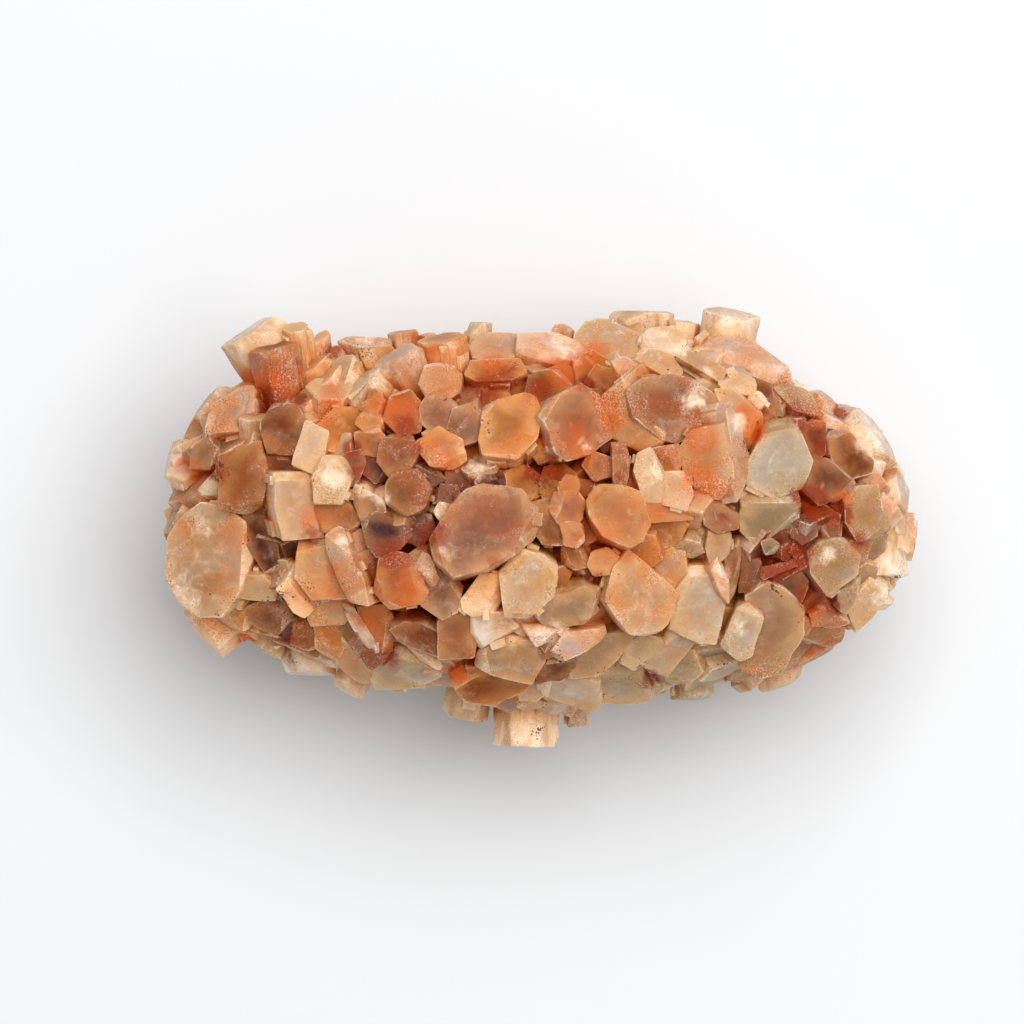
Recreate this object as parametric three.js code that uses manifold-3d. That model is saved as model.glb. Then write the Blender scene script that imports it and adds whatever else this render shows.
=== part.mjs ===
// Aragonite sputnik cluster: stubby six-sided crystals standing out from a common core,
// grown together into one solid. Millimetres, +Z up, origin under the middle of the cluster,
// on the surface that it rests on. The long side of the cluster runs along X.

import * as THREE from 'three';
import { mergeVertices } from 'three/addons/utils/BufferGeometryUtils.js';
import Module from 'manifold-3d';

const wasm = await Module();
wasm.setup();

// ---- driving dimensions ----

// The rounded block that the crystal ends lie on: half length, half height, and the height of
// its middle above the resting surface
const HALF_LENGTH = 37.5;
const HALF_HEIGHT = 20;
const MIDDLE = 20;
// How square the block is from the front and from the end
const LONG_POWER = 2.7;
const CROSS_POWER = 2.2;
// Its outline in plan, along the length: [x, front edge y, back edge y]
const PLAN = [
  [-37.5, -2, 5], [-36, -6, 8.5], [-33, -11, 12.5], [-30, -12.5, 15], [-26, -13.5, 18.5],
  [-18, -15.5, 19], [-8, -17.5, 19.3], [0, -19.5, 19.3], [8, -17.5, 20], [18, -16.5, 20],
  [24, -15.5, 16], [29, -12, 13], [33, -9, 10], [36, -5, 5.5], [37.5, -1.5, 0.5],
];

// How far a crystal reaches in from its end, and how much narrower it is at its root
const CAP_REACH = 13;
const ARM_REACH = 15;
const ROOT_WIDTH = 0.9;
// How uneven a six-sided outline is: in the spacing of its corners and in their distance out
const TURN_UNEVEN = 0.3;
const SIZE_UNEVEN = 0.12;

// The dense middle that every crystal is rooted in: half sizes and squareness
const CORE = new THREE.Vector3(32, 14.5, 15);
const CORE_POWER = 2.5;
const CORE_SIDES = 14;
const CORE_RINGS = 8;

const SEED = 37;

// Crystals whose end faces show in plan: how far the axis leans along X and Y, how far the end
// stands out from the shell, and the corners of the end face in plan
const CAPS = [
  // top left
  [-0.45, 0.35, 0.6, [[-33.2, 9.3], [-32.4, 12.2], [-29.7, 13.9], [-28.5, 14], [-29, 11.1], [-30, 10.1]]],
  [-0.62, 0.2, 0.2, [[-34.7, 6], [-34.5, 7.6], [-33.2, 9.1], [-32.2, 7.8], [-32.9, 6]]],
  [-0.2, 0.05, 0.4, [[-31.6, 6.9], [-27.7, 8.4], [-27, 5.1], [-27.7, 2.4], [-29.3, 1.6], [-31.5, 2.1]]],
  [-0.5, -0.2, -0.6, [[-33.6, 3.8], [-32.2, 5.5], [-31.2, 5], [-31, 2], [-33.4, 2.2]]],
  [-0.2, 0.25, -0.2, [[-27.5, 10], [-26.4, 12.2], [-24.2, 12], [-23, 10.2], [-24.4, 7.4], [-26.8, 7.6]]],
  [-0.15, 0.05, -1.4, [[-27.2, 7.7], [-24.3, 7.8], [-22.6, 5.4], [-26, 4.9], [-27.3, 6]]],
  [-0.1, 0.2, 0.4, [[-24.4, 6.4], [-23.1, 10.4], [-21, 9.3], [-21.7, 5.3]]],
  [0.25, -0.1, 0.5, [[-25.9, 5.1], [-22.2, 5.2], [-22.3, 2], [-21.4, -0.7], [-25.2, -1], [-25.8, 2]]],
  [-0.1, -0.1, -2, [[-29.3, 1.2], [-27.8, 2.1], [-26.4, -0.8], [-25.7, -3.9], [-27.2, -4.3],
    [-28.8, -1.6]]],
  [-0.25, -0.4, -0.8, [[-29.1, -4.9], [-27.5, -5], [-26.2, -6.2], [-26.4, -7.2], [-29.8, -7]]],
  [-0.2, -0.5, -1, [[-29, -8], [-27, -7.3], [-25.4, -7.6], [-25, -9.5], [-26.3, -10.6], [-28.8, -9.3]]],
  [-0.55, 0.02, 0.8, [[-36.7, -1.6], [-35.8, -0.1], [-34.3, 0], [-31.9, -2.9], [-32.4, -4.4],
    [-34.3, -6.1], [-36.7, -4.4]]],
  [-0.5, -0.5, 0.4, [[-36.8, -5.6], [-34.4, -6], [-32.2, -4.2], [-31.3, -6.6], [-31.4, -9.1], [-33.6, -9]]],
  [-0.35, 0.3, 0.5, [[-36.2, 0.1], [-33.6, 2.3], [-31.2, 1.6], [-29.2, 0.7], [-30.4, -1.6], [-34, 0]]],
  [-0.1, -0.15, 0, [[-23.7, -1.5], [-21.2, -1.1], [-20.9, -3], [-19.2, -6.8], [-22.5, -6.9],
    [-23.9, -4.8]]],
  [-0.1, -0.4, 0.3, [[-25.8, -6.3], [-24.2, -4.3], [-22.4, -6.9], [-22.4, -7.9], [-23.3, -8.8],
    [-24.2, -8.2]]],
  [0, -0.45, -0.6, [[-22.6, -7], [-19.3, -6.9], [-18.4, -8.2], [-19.6, -9.5], [-22.4, -9.7],
    [-23.1, -8.6]]],
  [0, -0.6, -0.4, [[-22.3, -9.6], [-19.9, -9.5], [-19.2, -11], [-20.1, -13.6], [-22, -12.4]]],
  [0.25, -0.35, 0.5, [[-19.1, -8.1], [-18.2, -8.2], [-15.8, -11.9], [-17, -12.1]]],
  [-0.4, -0.45, 0.2, [[-19.8, -10.1], [-18.9, -9.4], [-16.9, -12], [-15.7, -13.1], [-16.8, -14.1]]],
  [0, -0.4, -1.2, [[-18, -8], [-15.2, -7.8], [-14.5, -9.6], [-14.7, -12.3], [-15.9, -12.3]]],
  [-0.32, -0.1, 0.8, [[-21, -0.7], [-19.8, -0.1], [-18.9, -2.4], [-17.6, -4.8], [-16.9, -7.5],
    [-19, -7], [-20.9, -2.4]]],
  [-0.2, -0.8, 0.2, [[-19.6, -11.2], [-16.9, -13.7], [-16.4, -15.7], [-18.2, -15.5], [-20.2, -14.2]]],
  // centre left
  [-0.1, 0.1, 0.6, [[-22.1, 2.6], [-22.2, 5], [-21.3, 6.9], [-19.3, 6.9], [-18.5, 5.4], [-19.6, 2.6]]],
  [-0.1, 0.05, -0.9, [[-22.3, 2.4], [-18.5, 2.6], [-17.7, 0.8], [-18.6, -0.2], [-21.2, -0.3]]],
  [-0.1, 0.1, -0.3, [[-18.4, 4], [-16.8, 3.4], [-15.6, 2.6], [-15.3, 1.2], [-17.4, 0.6], [-18.1, 2.4]]],
  [0, 0.02, -0.2, [[-17.4, 0.7], [-15.2, 1.8], [-13.4, 0.6], [-12.7, -0.6], [-14, -2], [-16, -2.7],
    [-16.9, -1.4]]],
  [-0.16, 0.1, 0.6, [[-15, 4.3], [-14.3, 5.3], [-12.1, 5.6], [-11, 4], [-11.6, 2], [-13.4, 1.3],
    [-15, 2.6]]],
  [-0.1, 0.1, -0.8, [[-19.3, 7.2], [-17.7, 7.5], [-17.3, 6.3], [-18.2, 4.3], [-19.3, 4.6]]],
  [0, 0.1, -1.5, [[-17.2, 7.4], [-15.4, 7], [-15, 5], [-16.3, 4.6], [-17.4, 5.6]]],
  [0.06, 0.16, 1.3, [[-10.6, -1], [-8.6, 2.1], [-7.1, 3.6], [-5.6, 4.2], [-2, 3.6], [-0.3, 1.7],
    [-0.4, -0.2], [-2.2, -2.2], [-5, -3.8], [-8.3, -4.6], [-10.1, -3]]],
  [-0.15, 0.2, 0.2, [[-15.8, 6.6], [-15.6, 8.3], [-14.6, 9.1], [-12.8, 9], [-12.2, 7.3], [-13.4, 5.2],
    [-14.9, 5.3]]],
  [0, 0.15, 0, [[-12.4, 8.2], [-9.9, 9.8], [-7.8, 8.5], [-7.4, 6.8], [-8.8, 6], [-10.6, 6.3]]],
  [-0.05, 0.25, -0.2, [[-12.1, 11], [-11.2, 12.7], [-9.1, 13], [-7.9, 11.8], [-8.4, 10], [-10.6, 9.6]]],
  [0.05, 0.2, 0.1, [[-8.9, 10], [-8.4, 11.6], [-6.8, 12.1], [-5.5, 10.9], [-5.7, 9], [-7.4, 8.4]]],
  [-0.1, 0.3, 0.6, [[-11.8, 14.2], [-11.2, 15.9], [-9.5, 16.2], [-8, 15.3], [-8.2, 13.7], [-9.7, 12.9],
    [-11.1, 13.1]]],
  [0, 0.3, -0.5, [[-15.3, 10.8], [-14.7, 13], [-13, 13.6], [-11.6, 12], [-11.9, 9.7], [-13.7, 9.2]]],
  [-0.15, 0.15, -0.9, [[-18.2, 9.4], [-16.2, 10], [-15.2, 8.6], [-15.8, 7.2], [-18, 7.4]]],
  // top centre
  [-0.15, 0.8, 0.3, [[-19.9, 18.7], [-19.2, 19.5], [-15.1, 19.3], [-15.2, 18.3], [-17.2, 17.9]]],
  [-0.1, 0.6, -0.8, [[-17.9, 17.6], [-15, 18], [-13.9, 16.9], [-15, 15.9], [-17, 16.1]]],
  [-0.05, 0.6, 0.3, [[-6.9, 18.1], [-5.6, 19.4], [-2.2, 19.3], [-1.9, 17.3], [-4.2, 16.7], [-6.5, 17]]],
  [0, 0.65, 0.2, [[-7.2, 15.2], [-6.6, 16.6], [-2.2, 16.7], [-1.4, 15.4], [-3, 14.8], [-6, 14.6]]],
  [0.02, 0.38, 1, [[-5.4, 12], [-1.8, 13.2], [-0.6, 12.8], [0, 11.3], [-0.5, 9], [-2.2, 7.1],
    [-5.4, 7.4], [-5.8, 8.7]]],
  [0.32, 0.1, 1.3, [[0.3, 11], [1.5, 12.6], [4, 14], [5.8, 12.9], [7, 9], [4.8, 7.4], [2.7, 6.8],
    [1.6, 7.6], [1.2, 9.4]]],
  [0, 0.5, -0.6, [[-1.3, 13.2], [-0.9, 15.3], [1.8, 15.7], [3, 14.2], [1.4, 12.4], [0, 11.8]]],
  [0.15, 0.68, 0.4, [[-2, 17.8], [-2, 19.3], [1.5, 19.3], [3.6, 18.5], [5.9, 16.2], [5.2, 15.6],
    [0.5, 17.2]]],
  [0.1, 0.58, 0.3, [[3.9, 19.6], [4.8, 20.8], [7.4, 20.6], [9.9, 19.3], [9.3, 16.7], [6.3, 16.2],
    [3.8, 18.4]]],
  [0.1, 0.4, -0.6, [[4.4, 14.1], [5.7, 16.1], [8.2, 15.4], [9, 14.2], [6.9, 12.8]]],
  [0.1, 0.6, 0.5, [[10.1, 18.2], [10.9, 19.7], [13.4, 20], [14.6, 18.9], [13.8, 17.3], [11.3, 16.9]]],
  [0.1, 0.45, 0, [[9.4, 16.8], [10.5, 17.9], [12.9, 17.1], [14, 15.5], [12.8, 14.9]]],
  [0.2, 0.65, 0.3, [[15, 18.3], [17, 19.9], [19.8, 19.1], [22, 17.8], [25.2, 15.6], [24, 15.1],
    [20, 16.9], [16.5, 17.3]]],
  [0.2, 0.45, 0.3, [[18, 15], [19.5, 15.6], [21.2, 15], [21.2, 13.2], [18.2, 13.8]]],
  [0.3, 0.4, -0.6, [[21.1, 14.9], [23.3, 14], [23.8, 11.2], [22.2, 11.2], [21, 12.6]]],
  [0.35, 0.55, 0.4, [[23.3, 13.9], [24.9, 14.5], [26.4, 13.9], [27.9, 11.2], [25.4, 11.8]]],
  [0.36, 0.14, 1, [[8.7, 13.5], [10.5, 14.7], [13, 14.9], [15.2, 14.4], [17.5, 12.8], [16.3, 10.8],
    [13.6, 8.5], [12, 9], [9.5, 11]]],
  [0.4, 0.25, -0.3, [[17.4, 13.6], [19.8, 13.7], [21.9, 12], [22.1, 10.4], [21, 8.2], [19.6, 8.6]]],
  [0.76, 0.12, 0.6, [[18.4, 11.2], [19, 12.2], [20.6, 7], [20.2, 4.5], [19.5, 2.7], [18.9, 4.5],
    [19.1, 7.5]]],
  [0.25, 0.1, 0.3, [[20.6, 6.2], [22.2, 9.3], [22.5, 11], [24.9, 11.1], [26.8, 6.6], [25.8, 4],
    [23.2, 3.1], [20.4, 4.5]]],
  [0.15, -0.05, -0.3, [[20, 4.3], [22, 2.9], [25.5, 3.5], [25.5, 0.7], [23.6, -1], [21.4, -1.7],
    [20, -0.2]]],
  // right
  [0.42, 0.3, 0.3, [[28.8, 9.2], [29.8, 9.9], [31, 9.1], [33, 6.7], [32.9, 5.6], [30.4, 4.9], [28.9, 7.3]]],
  [0.35, 0.3, -0.6, [[25.9, 10], [27.4, 11], [28.8, 9.6], [28.8, 7.6], [26.8, 6.9]]],
  [0.35, 0.1, 0, [[26.8, 6.9], [29.5, 6.6], [31.5, 5], [30.3, 3.2], [27.7, 2.4], [25.6, 4.1]]],
  [0.48, 0.02, 0.3, [[30.3, 3.1], [31, 3.8], [33.4, 4], [33.8, 1.8], [35, -0.2], [33, -1.1],
    [31.5, -1.1], [30.5, 0.6]]],
  [0.38, -0.12, 0.4, [[26.9, -2.6], [27.9, -1.6], [30.1, -1.2], [31.5, -2.9], [31.3, -4.5],
    [28.5, -6.6], [27, -4.4]]],
  [0.2, -0.15, -1.3, [[22.1, -4.9], [25.2, -3.7], [26.3, -5.3], [25.5, -7.4], [23.3, -6.2]]],
  [0.4, -0.45, 0.2, [[29.6, -7.9], [30.2, -6.7], [32.4, -5.4], [31.5, -7], [30.6, -8.5]]],
  [0.5, -0.5, 0.3, [[30.9, -8.3], [31.9, -6.6], [33.3, -4.9], [35, -6.2], [33, -8.9], [31.6, -10.3]]],
  [0.3, -0.45, -0.4, [[26.8, -8.2], [28.8, -7.5], [30.2, -8.6], [30.9, -9.8], [29, -10.1], [27.3, -9.7]]],
  [0.3, -0.6, -0.4, [[25.7, -10.2], [28.5, -9.9], [30.3, -10.1], [29.9, -11.4], [28.4, -12],
    [26.4, -11.4]]],
  // centre and lower right
  [0.02, 0, 0.6, [[1, 1.9], [1.6, 3.3], [3.6, 3.4], [4.2, 2.6], [4, 0.9], [2.8, 0], [1.9, 0.6]]],
  [0, 0, -0.4, [[-0.6, 2.3], [0.6, 2.7], [1.5, 1.5], [2.1, 0.2], [2.1, -1.5], [0.3, -1.4], [-0.4, -0.2]]],
  [0.05, 0.05, -1, [[4.3, 6.2], [5.2, 7.4], [7, 6.7], [6.9, 5.2], [5.4, 4.8]]],
  [0.05, 0.1, 0.2, [[7.1, 8.2], [8.4, 8.2], [8.7, 6.2], [8.5, 4.5], [7.3, 4.6]]],
  [0.12, 0.15, 1.2, [[4.8, 2.7], [6, 4.2], [8.2, 4], [9.8, 3.3], [10.8, 0.5], [9.7, -1.3], [8.7, -1.7],
    [6.3, -0.6], [5.1, 1.2]]],
  [0.1, 0.15, 0.2, [[9.5, 5.5], [9.7, 7.2], [11, 7.7], [12.1, 6.3], [12, 2.8], [10.3, 2.8]]],
  [0.1, 0.15, 0, [[11.3, 7.7], [13.6, 8.1], [13.7, 5.6], [12.2, 5.3]]],
  [0.15, 0.05, 0.2, [[12.1, 5.3], [14.4, 5.4], [14.9, 3.3], [14.3, 1.9], [12.2, 2.5]]],
  [0.1, 0, -0.4, [[10.4, 2.9], [12.5, 2.8], [15.2, 1.9], [14.8, 0.9], [11, 0.6]]],
  [0.15, 0, -0.5, [[16.1, 2], [17.9, 2.1], [19.5, 1.4], [19.4, 0], [17.5, -0.3], [16.5, 0.4]]],
  [0.2, -0.1, -0.5, [[16.8, -0.4], [18.8, -0.7], [18.5, -2.4], [17, -4], [16.6, -2]]],
  [0.24, -0.1, 0.9, [[6.6, -7.2], [7.4, -4.2], [8.7, -2.4], [11.4, -4.6], [13.6, -6.7], [12.4, -9.3],
    [11, -10.6], [8.9, -10.2], [7.8, -8.7]]],
  [0, 0, -0.3, [[4.9, -3.6], [5.3, -2.5], [6.6, -2.1], [7.9, -3.2], [7.6, -4.4], [5.4, -4.6]]],
  [0.04, -0.42, -0.2, [[-0.6, -8.4], [1.4, -6.8], [4.3, -6], [5.8, -6.4], [5.6, -8], [4.1, -9.3],
    [0.8, -9.8]]],
  [0.18, -0.3, 0.1, [[13.4, -6.6], [15, -4.3], [17.2, -4.2], [18.2, -7.5], [17.3, -11.3], [15.7, -11.2],
    [13, -9.9]]],
  [0.3, -0.05, -0.7, [[18.4, -2.3], [19, 0.1], [20.1, -0.1], [20.1, -3], [19.5, -6.3], [18.6, -7.3]]],
  [0.15, -0.1, -1, [[20.1, -2], [21.5, -2.8], [21.9, -4.7], [20.9, -6.1], [19.7, -6.3]]],
  [0.15, -0.35, 0.2, [[20.5, -6.3], [22.1, -5.4], [24.2, -6.3], [25.9, -8], [25.9, -10.6],
    [23.9, -14.3], [21.8, -14.8], [19.9, -13.6]]],
  [0, -0.35, 1.3, [[18, -11.7], [19.4, -8.2], [20.5, -7.9], [21.9, -9.1], [20.9, -12.5], [19.8, -13]]],
  [0.1, -0.6, 0.5, [[10.1, -13.2], [12.3, -11.7], [13.1, -10.2], [15.1, -10], [15.9, -11.3],
    [13.8, -13.9], [12.5, -14.8], [11, -14.6]]],
  [0, -0.5, 0, [[7.4, -12.9], [8.6, -11.6], [10, -10.8], [11.7, -11], [12.2, -11.8], [9.4, -14]]],
  [0, -0.45, -0.3, [[3, -13], [6.3, -10.8], [9.6, -10.3], [7.4, -13], [5.9, -14.4], [3, -14.9]]],
  [0.05, -0.38, 0.4, [[1, -12.7], [2.7, -10.5], [6.2, -10.1], [6.4, -10.8], [4.4, -12], [2, -13.3]]],
  [0.03, -0.75, -0.2, [[4.9, -15], [7.4, -13.8], [9.9, -14], [11.3, -16.9], [9.4, -17.6], [6.4, -17.3]]],
  [0.08, -0.8, -0.2, [[0.1, -15.4], [3.9, -15.1], [5.9, -15.6], [6.1, -17.6], [4.9, -18.5], [0.6, -17]]],
  // lower left of centre
  [-0.05, -0.05, 0.7, [[-16.2, -6.2], [-14.7, -7.9], [-11.8, -7.3], [-11.2, -6.2], [-12.6, -3],
    [-14.3, -2.5], [-15.7, -3.2]]],
  [0, -0.1, 0.3, [[-12.7, -2.8], [-11.5, -1.9], [-10.3, -2.2], [-7.8, -5.9], [-8.3, -8.1], [-9.7, -8.8],
    [-11.6, -7.4]]],
  [-0.05, -0.1, 0.6, [[-12.8, -3.9], [-12, -2.4], [-10.9, -3], [-10, -5.1], [-10.5, -6]]],
  [-0.05, -0.15, 0.5, [[-7.9, -7.5], [-5.7, -4.7], [-3.9, -4.9], [-3.5, -6.4], [-4.6, -8.4], [-6.6, -8.6]]],
  [0.02, -0.22, 0.8, [[-3.8, -4.6], [-1.8, -2.4], [0.2, -3], [1.5, -4], [1.2, -6.7], [-1.3, -8.9],
    [-3.3, -8.7]]],
  [-0.02, -0.45, -0.2, [[-14.6, -10.2], [-13.2, -9.5], [-11, -9.6], [-9.9, -10.3], [-9.9, -13.1],
    [-13, -11.9]]],
  [0, -0.42, 0.1, [[-9.9, -9.4], [-8.7, -8.5], [-6.6, -8.5], [-6.2, -9.8], [-6.6, -12.7], [-9.9, -12.9]]],
  [0.05, -0.4, 0.2, [[-6.6, -8.8], [-3.4, -8.5], [-1.7, -10.6], [-3.4, -11.4], [-5.8, -12.3], [-6.5, -11]]],
  [0.02, -0.55, -0.2, [[-5.8, -12.5], [-3.6, -11.3], [-0.4, -11.3], [0.3, -13.2], [-0.9, -15.4],
    [-6.2, -14.2]]],
  [0.05, -0.55, -0.3, [[1, -13.3], [3.4, -12.9], [3.2, -14], [2, -15], [0, -15.4], [-0.2, -14.7]]],
  [0, -0.72, 0.4, [[-8.9, -15.6], [-7.4, -14.8], [-5.2, -14.4], [-2.4, -15], [-0.8, -15.7],
    [-4.6, -17.6], [-7.2, -17.2]]],
  [-0.1, -0.75, -0.3, [[-16.7, -14], [-14.7, -12.5], [-12.6, -12.9], [-10.1, -14.8], [-13, -16],
    [-16, -16.4]]],
];

// Crystals that show their sides: the middle of the end face, the bearing and rise of the axis
// in degrees, and the width and thickness across it
const ARMS = [
  // left rim
  [-28.8, 19.8, 24, 121, 8, 6.8, 5.5],
  [-26.6, 17.6, 28, 125, 30, 6.2, 5],
  [-24.3, 20, 25.5, 100, 22, 2.8, 2.8],
  [-21.9, 19.3, 24, 95, 20, 2.4, 2.4],
  [-33.3, 12.6, 22.5, 142, 5, 5.6, 5],
  [-37, 6.9, 22, 168, 6, 4.8, 4.6],
  [-35.4, 3.1, 23, 182, 12, 3.4, 4],
  [-33.6, -10.8, 22, 221, 8, 6.8, 5],
  [-26.9, -12.8, 20, 245, 3, 3, 4],
  [-23.2, -14.5, 20, 266, 5, 5.6, 5],
  [-19.2, -16.5, 20, 245, 5, 3.7, 4],
  // top left arc
  [-20.6, 15, 28.5, 128, 32, 6.8, 5],
  [-19.5, 11.2, 31, 160, 32, 4.3, 4.2],
  [-16.9, 15.2, 31, 133, 38, 4.4, 4],
  [-12.9, 17.7, 30, 113, 36, 3.6, 4],
  [-9.4, 18.2, 29, 102, 32, 3.6, 4],
  [-13.6, 19.6, 22, 97, 4, 3.4, 4],
  [-10.9, 19.3, 22, 93, 4, 2.6, 4],
  [-8.6, 19.5, 22, 90, 3, 2.4, 4],
  [-6.1, 20.5, 21, 90, 2, 3, 4],
  [2.5, 20.2, 22, 80, 6, 2.3, 3],
  [10.3, 21.5, 20, 89, 2, 7, 4.4],
  [19.2, 21.4, 23, 80, 12, 6.4, 4.6],
  [14.6, 20.6, 21, 85, 4, 3.4, 4],
  // right rim
  [26, 14.4, 22, 62, 6, 2.2, 3.4],
  [28.5, 13.1, 23, 55, 8, 3.8, 4],
  [33.6, 9.3, 24, 34, 14, 7, 5],
  [36.4, 3.6, 24, 14, 14, 5.4, 5],
  [37.6, -1.2, 20, -8, 0, 4.8, 5],
  [36.1, -4.7, 18, -22, -4, 4, 5],
  [34.8, -8, 18, -40, -4, 2.6, 4],
  [27.6, -13, 21, -60, 6, 5.2, 4.4],
  [24.4, -15.8, 17, -70, -12, 5.4, 4.4],
  // bottom rim
  [17, -1.2, 35.4, -10, 32, 5, 4],
  [20.5, -16.5, 19, -82, 2, 2.6, 4],
  [15.2, -17.2, 20, -88, 3, 4.6, 5],
  [8.8, -17.5, 20, -88, 5, 5, 5],
  [3.8, -19.9, 18, -88, -4, 2.6, 4],
  [-1.3, -21.9, 20, -92, 0, 7, 6],
  [-7.5, -19.2, 20, -100, 0, 4.8, 5],
  [-14.5, -16.4, 20, -95, 4, 3.4, 5],
  [-11.7, -15.7, 20, -82, 5, 3.4, 5],
];

// ---- helpers ----

// Middle and half width of the block in plan at x
function planAt(x) {
  const after = Math.max(1, PLAN.findIndex(([station]) => station >= x));
  const [[x0, front0, back0], [x1, front1, back1]] = [PLAN[after - 1], PLAN[after]];
  const part = THREE.MathUtils.clamp((x - x0) / (x1 - x0), 0, 1);
  const front = THREE.MathUtils.lerp(front0, front1, part);
  const back = THREE.MathUtils.lerp(back0, back1, part);
  return { middle: (front + back) / 2, half: (back - front) / 2 };
}

// How far the block stands above and below its middle at x
function riseAt(x) {
  return HALF_HEIGHT * Math.sqrt(Math.max(1 - Math.abs(x / HALF_LENGTH) ** LONG_POWER, 0.02));
}

// Height of the block above a point of the plan
function shellHeight(x, y) {
  const { middle, half } = planAt(x);
  const left = 1 - Math.abs((y - middle) / half) ** CROSS_POWER;
  return MIDDLE + riseAt(x) * Math.sqrt(Math.max(left, 0.02));
}

// A small seeded generator, so that the unseen sides come out the same every time
function randomFrom(seed) {
  let state = seed >>> 0;
  return () => {
    state = (state + 0x6d2b79f5) >>> 0;
    let t = state;
    t = Math.imul(t ^ (t >>> 15), t | 1);
    t ^= t + Math.imul(t ^ (t >>> 7), t | 61);
    return ((t ^ (t >>> 14)) >>> 0) / 4294967296;
  };
}

function solidFrom(geometry) {
  geometry.deleteAttribute('normal');
  geometry.deleteAttribute('uv');
  const merged = mergeVertices(geometry);
  return new wasm.Manifold(new wasm.Mesh({
    numProp: 3,
    vertProperties: Float32Array.from(merged.attributes.position.array),
    triVerts: Uint32Array.from(merged.index.array),
  }));
}

// One crystal: a straight prism along axis, whose end face is the outline, given in the
// plane of side and up around the point end
function crystal(outline, end, side, up, axis, reach) {
  const geometry = new THREE.ExtrudeGeometry(new THREE.Shape(outline), {
    depth: reach, steps: 1, bevelEnabled: false,
  });
  const position = geometry.attributes.position;
  for (let i = 0; i < position.count; i += 1) {
    if (position.getZ(i) < reach / 2) {
      position.setXY(i, position.getX(i) * ROOT_WIDTH, position.getY(i) * ROOT_WIDTH);
    }
  }
  const place = new THREE.Matrix4().makeBasis(side, up, axis);
  place.setPosition(end.clone().addScaledVector(axis, -reach));
  geometry.applyMatrix4(place);
  return solidFrom(geometry);
}

// Middle of the end face of a crystal that is seen in plan
function capEnd([, , lift, plan]) {
  const x = plan.reduce((sum, corner) => sum + corner[0], 0) / plan.length;
  const y = plan.reduce((sum, corner) => sum + corner[1], 0) / plan.length;
  return new THREE.Vector3(x, y, shellHeight(x, y) + lift);
}

// The crystal itself. The end face is square to the axis.
function capCrystal(row) {
  const [leanX, leanY, , plan] = row;
  const axis = new THREE.Vector3(leanX, leanY, Math.sqrt(1 - leanX ** 2 - leanY ** 2));
  const end = capEnd(row);
  const side = new THREE.Vector3(0, 1, 0).cross(axis).normalize();
  const up = axis.clone().cross(side);
  const outline = plan.map(([x, y]) => {
    const fall = -(leanX * (x - end.x) + leanY * (y - end.y)) / axis.z;
    const offset = new THREE.Vector3(x - end.x, y - end.y, fall);
    return new THREE.Vector2(offset.dot(side), offset.dot(up));
  });
  if (THREE.ShapeUtils.isClockWise(outline)) outline.reverse();
  return crystal(outline, end, side, up, axis, CAP_REACH);
}

// An uneven six-sided outline, as the twinned crystals have
function sixSides(width, thickness, random) {
  const acrossFlats = Math.cos(Math.PI / 6);
  return Array.from({ length: 6 }, (_, i) => {
    const angle = (i + TURN_UNEVEN * (random() - 0.5)) * Math.PI / 3;
    const stretch = 1 + SIZE_UNEVEN * (random() - 0.5);
    return new THREE.Vector2(
      0.5 * width * stretch * Math.cos(angle),
      0.5 * thickness * stretch * Math.sin(angle) / acrossFlats,
    );
  });
}

// A crystal that is seen from the side. Its end middle, direction and size are given.
function armCrystal([x, y, z, bearing, rise, width, thickness], random) {
  const turn = THREE.MathUtils.degToRad(bearing);
  const climb = THREE.MathUtils.degToRad(rise);
  const axis = new THREE.Vector3(
    Math.cos(climb) * Math.cos(turn), Math.cos(climb) * Math.sin(turn), Math.sin(climb),
  );
  const side = new THREE.Vector3(-Math.sin(turn), Math.cos(turn), 0);
  const up = axis.clone().cross(side);
  const outline = sixSides(width, thickness, random);
  return crystal(outline, new THREE.Vector3(x, y, z), side, up, axis, ARM_REACH);
}

// ---- the flanks and the underside ----

const FLANK_TRIES = 170;          // places tried, spread evenly along and around
const FLANK_SPACING = 7.8;        // mm, the least distance between two of these ends
const FLANK_CLEARANCE = 5.4;      // mm, the least distance to the end of a listed crystal
const FLANK_LENGTH = 0.95;        // part of the half length that they cover
const FLANK_TOP = 34;             // degrees above the middle that they climb to, at each side
const FLANK_INSET = 0.8;          // mm, how far their ends stay within the block at least
const FLANK_SETBACK = 1.5;        // mm, and how much further in they can lie
const FLANK_TILT = 0.45;          // how unevenly they point
const FLANK_SLIMNESS = [0.7, 0.95]; // thickness over width
const FLANK_WIDTHS = [6.4, 9.4];
const GOLDEN = (Math.sqrt(5) - 1) / 2;

// Crystal ends that stand lowest: [x, y, width]. They are cut off flat at the resting surface.
const FEET = [
  [-14, 4, 7], [-8, -5.5, 6.4], [-3, 3.5, 7.2], [4, -2.5, 6.2], [9, 6, 6], [12, -4.5, 6.8],
];
const FEET_PROUD = 0.4;           // mm that a foot would reach below the surface
const FEET_SPLAY = 0.9;           // degrees outwards for each mm from the middle

// A point of the block: part of the half length, angle around the long axis, mm inwards
function blockPoint(along, around, inset) {
  const x = along * (HALF_LENGTH - inset);
  const { middle, half } = planAt(x);
  return new THREE.Vector3(
    x,
    middle + (half - inset) * Math.cos(around),
    MIDDLE + (riseAt(x) - inset) * Math.sin(around),
  );
}

// Outward direction there
function blockNormal(point) {
  const { middle, half } = planAt(point.x);
  const lengthwise = Math.abs(point.x / HALF_LENGTH) ** (LONG_POWER - 1) * LONG_POWER;
  return new THREE.Vector3(
    Math.sign(point.x) * lengthwise / HALF_LENGTH,
    2 * (point.y - middle) / half ** 2,
    2 * (point.z - MIDDLE) / HALF_HEIGHT ** 2,
  ).normalize();
}

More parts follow.
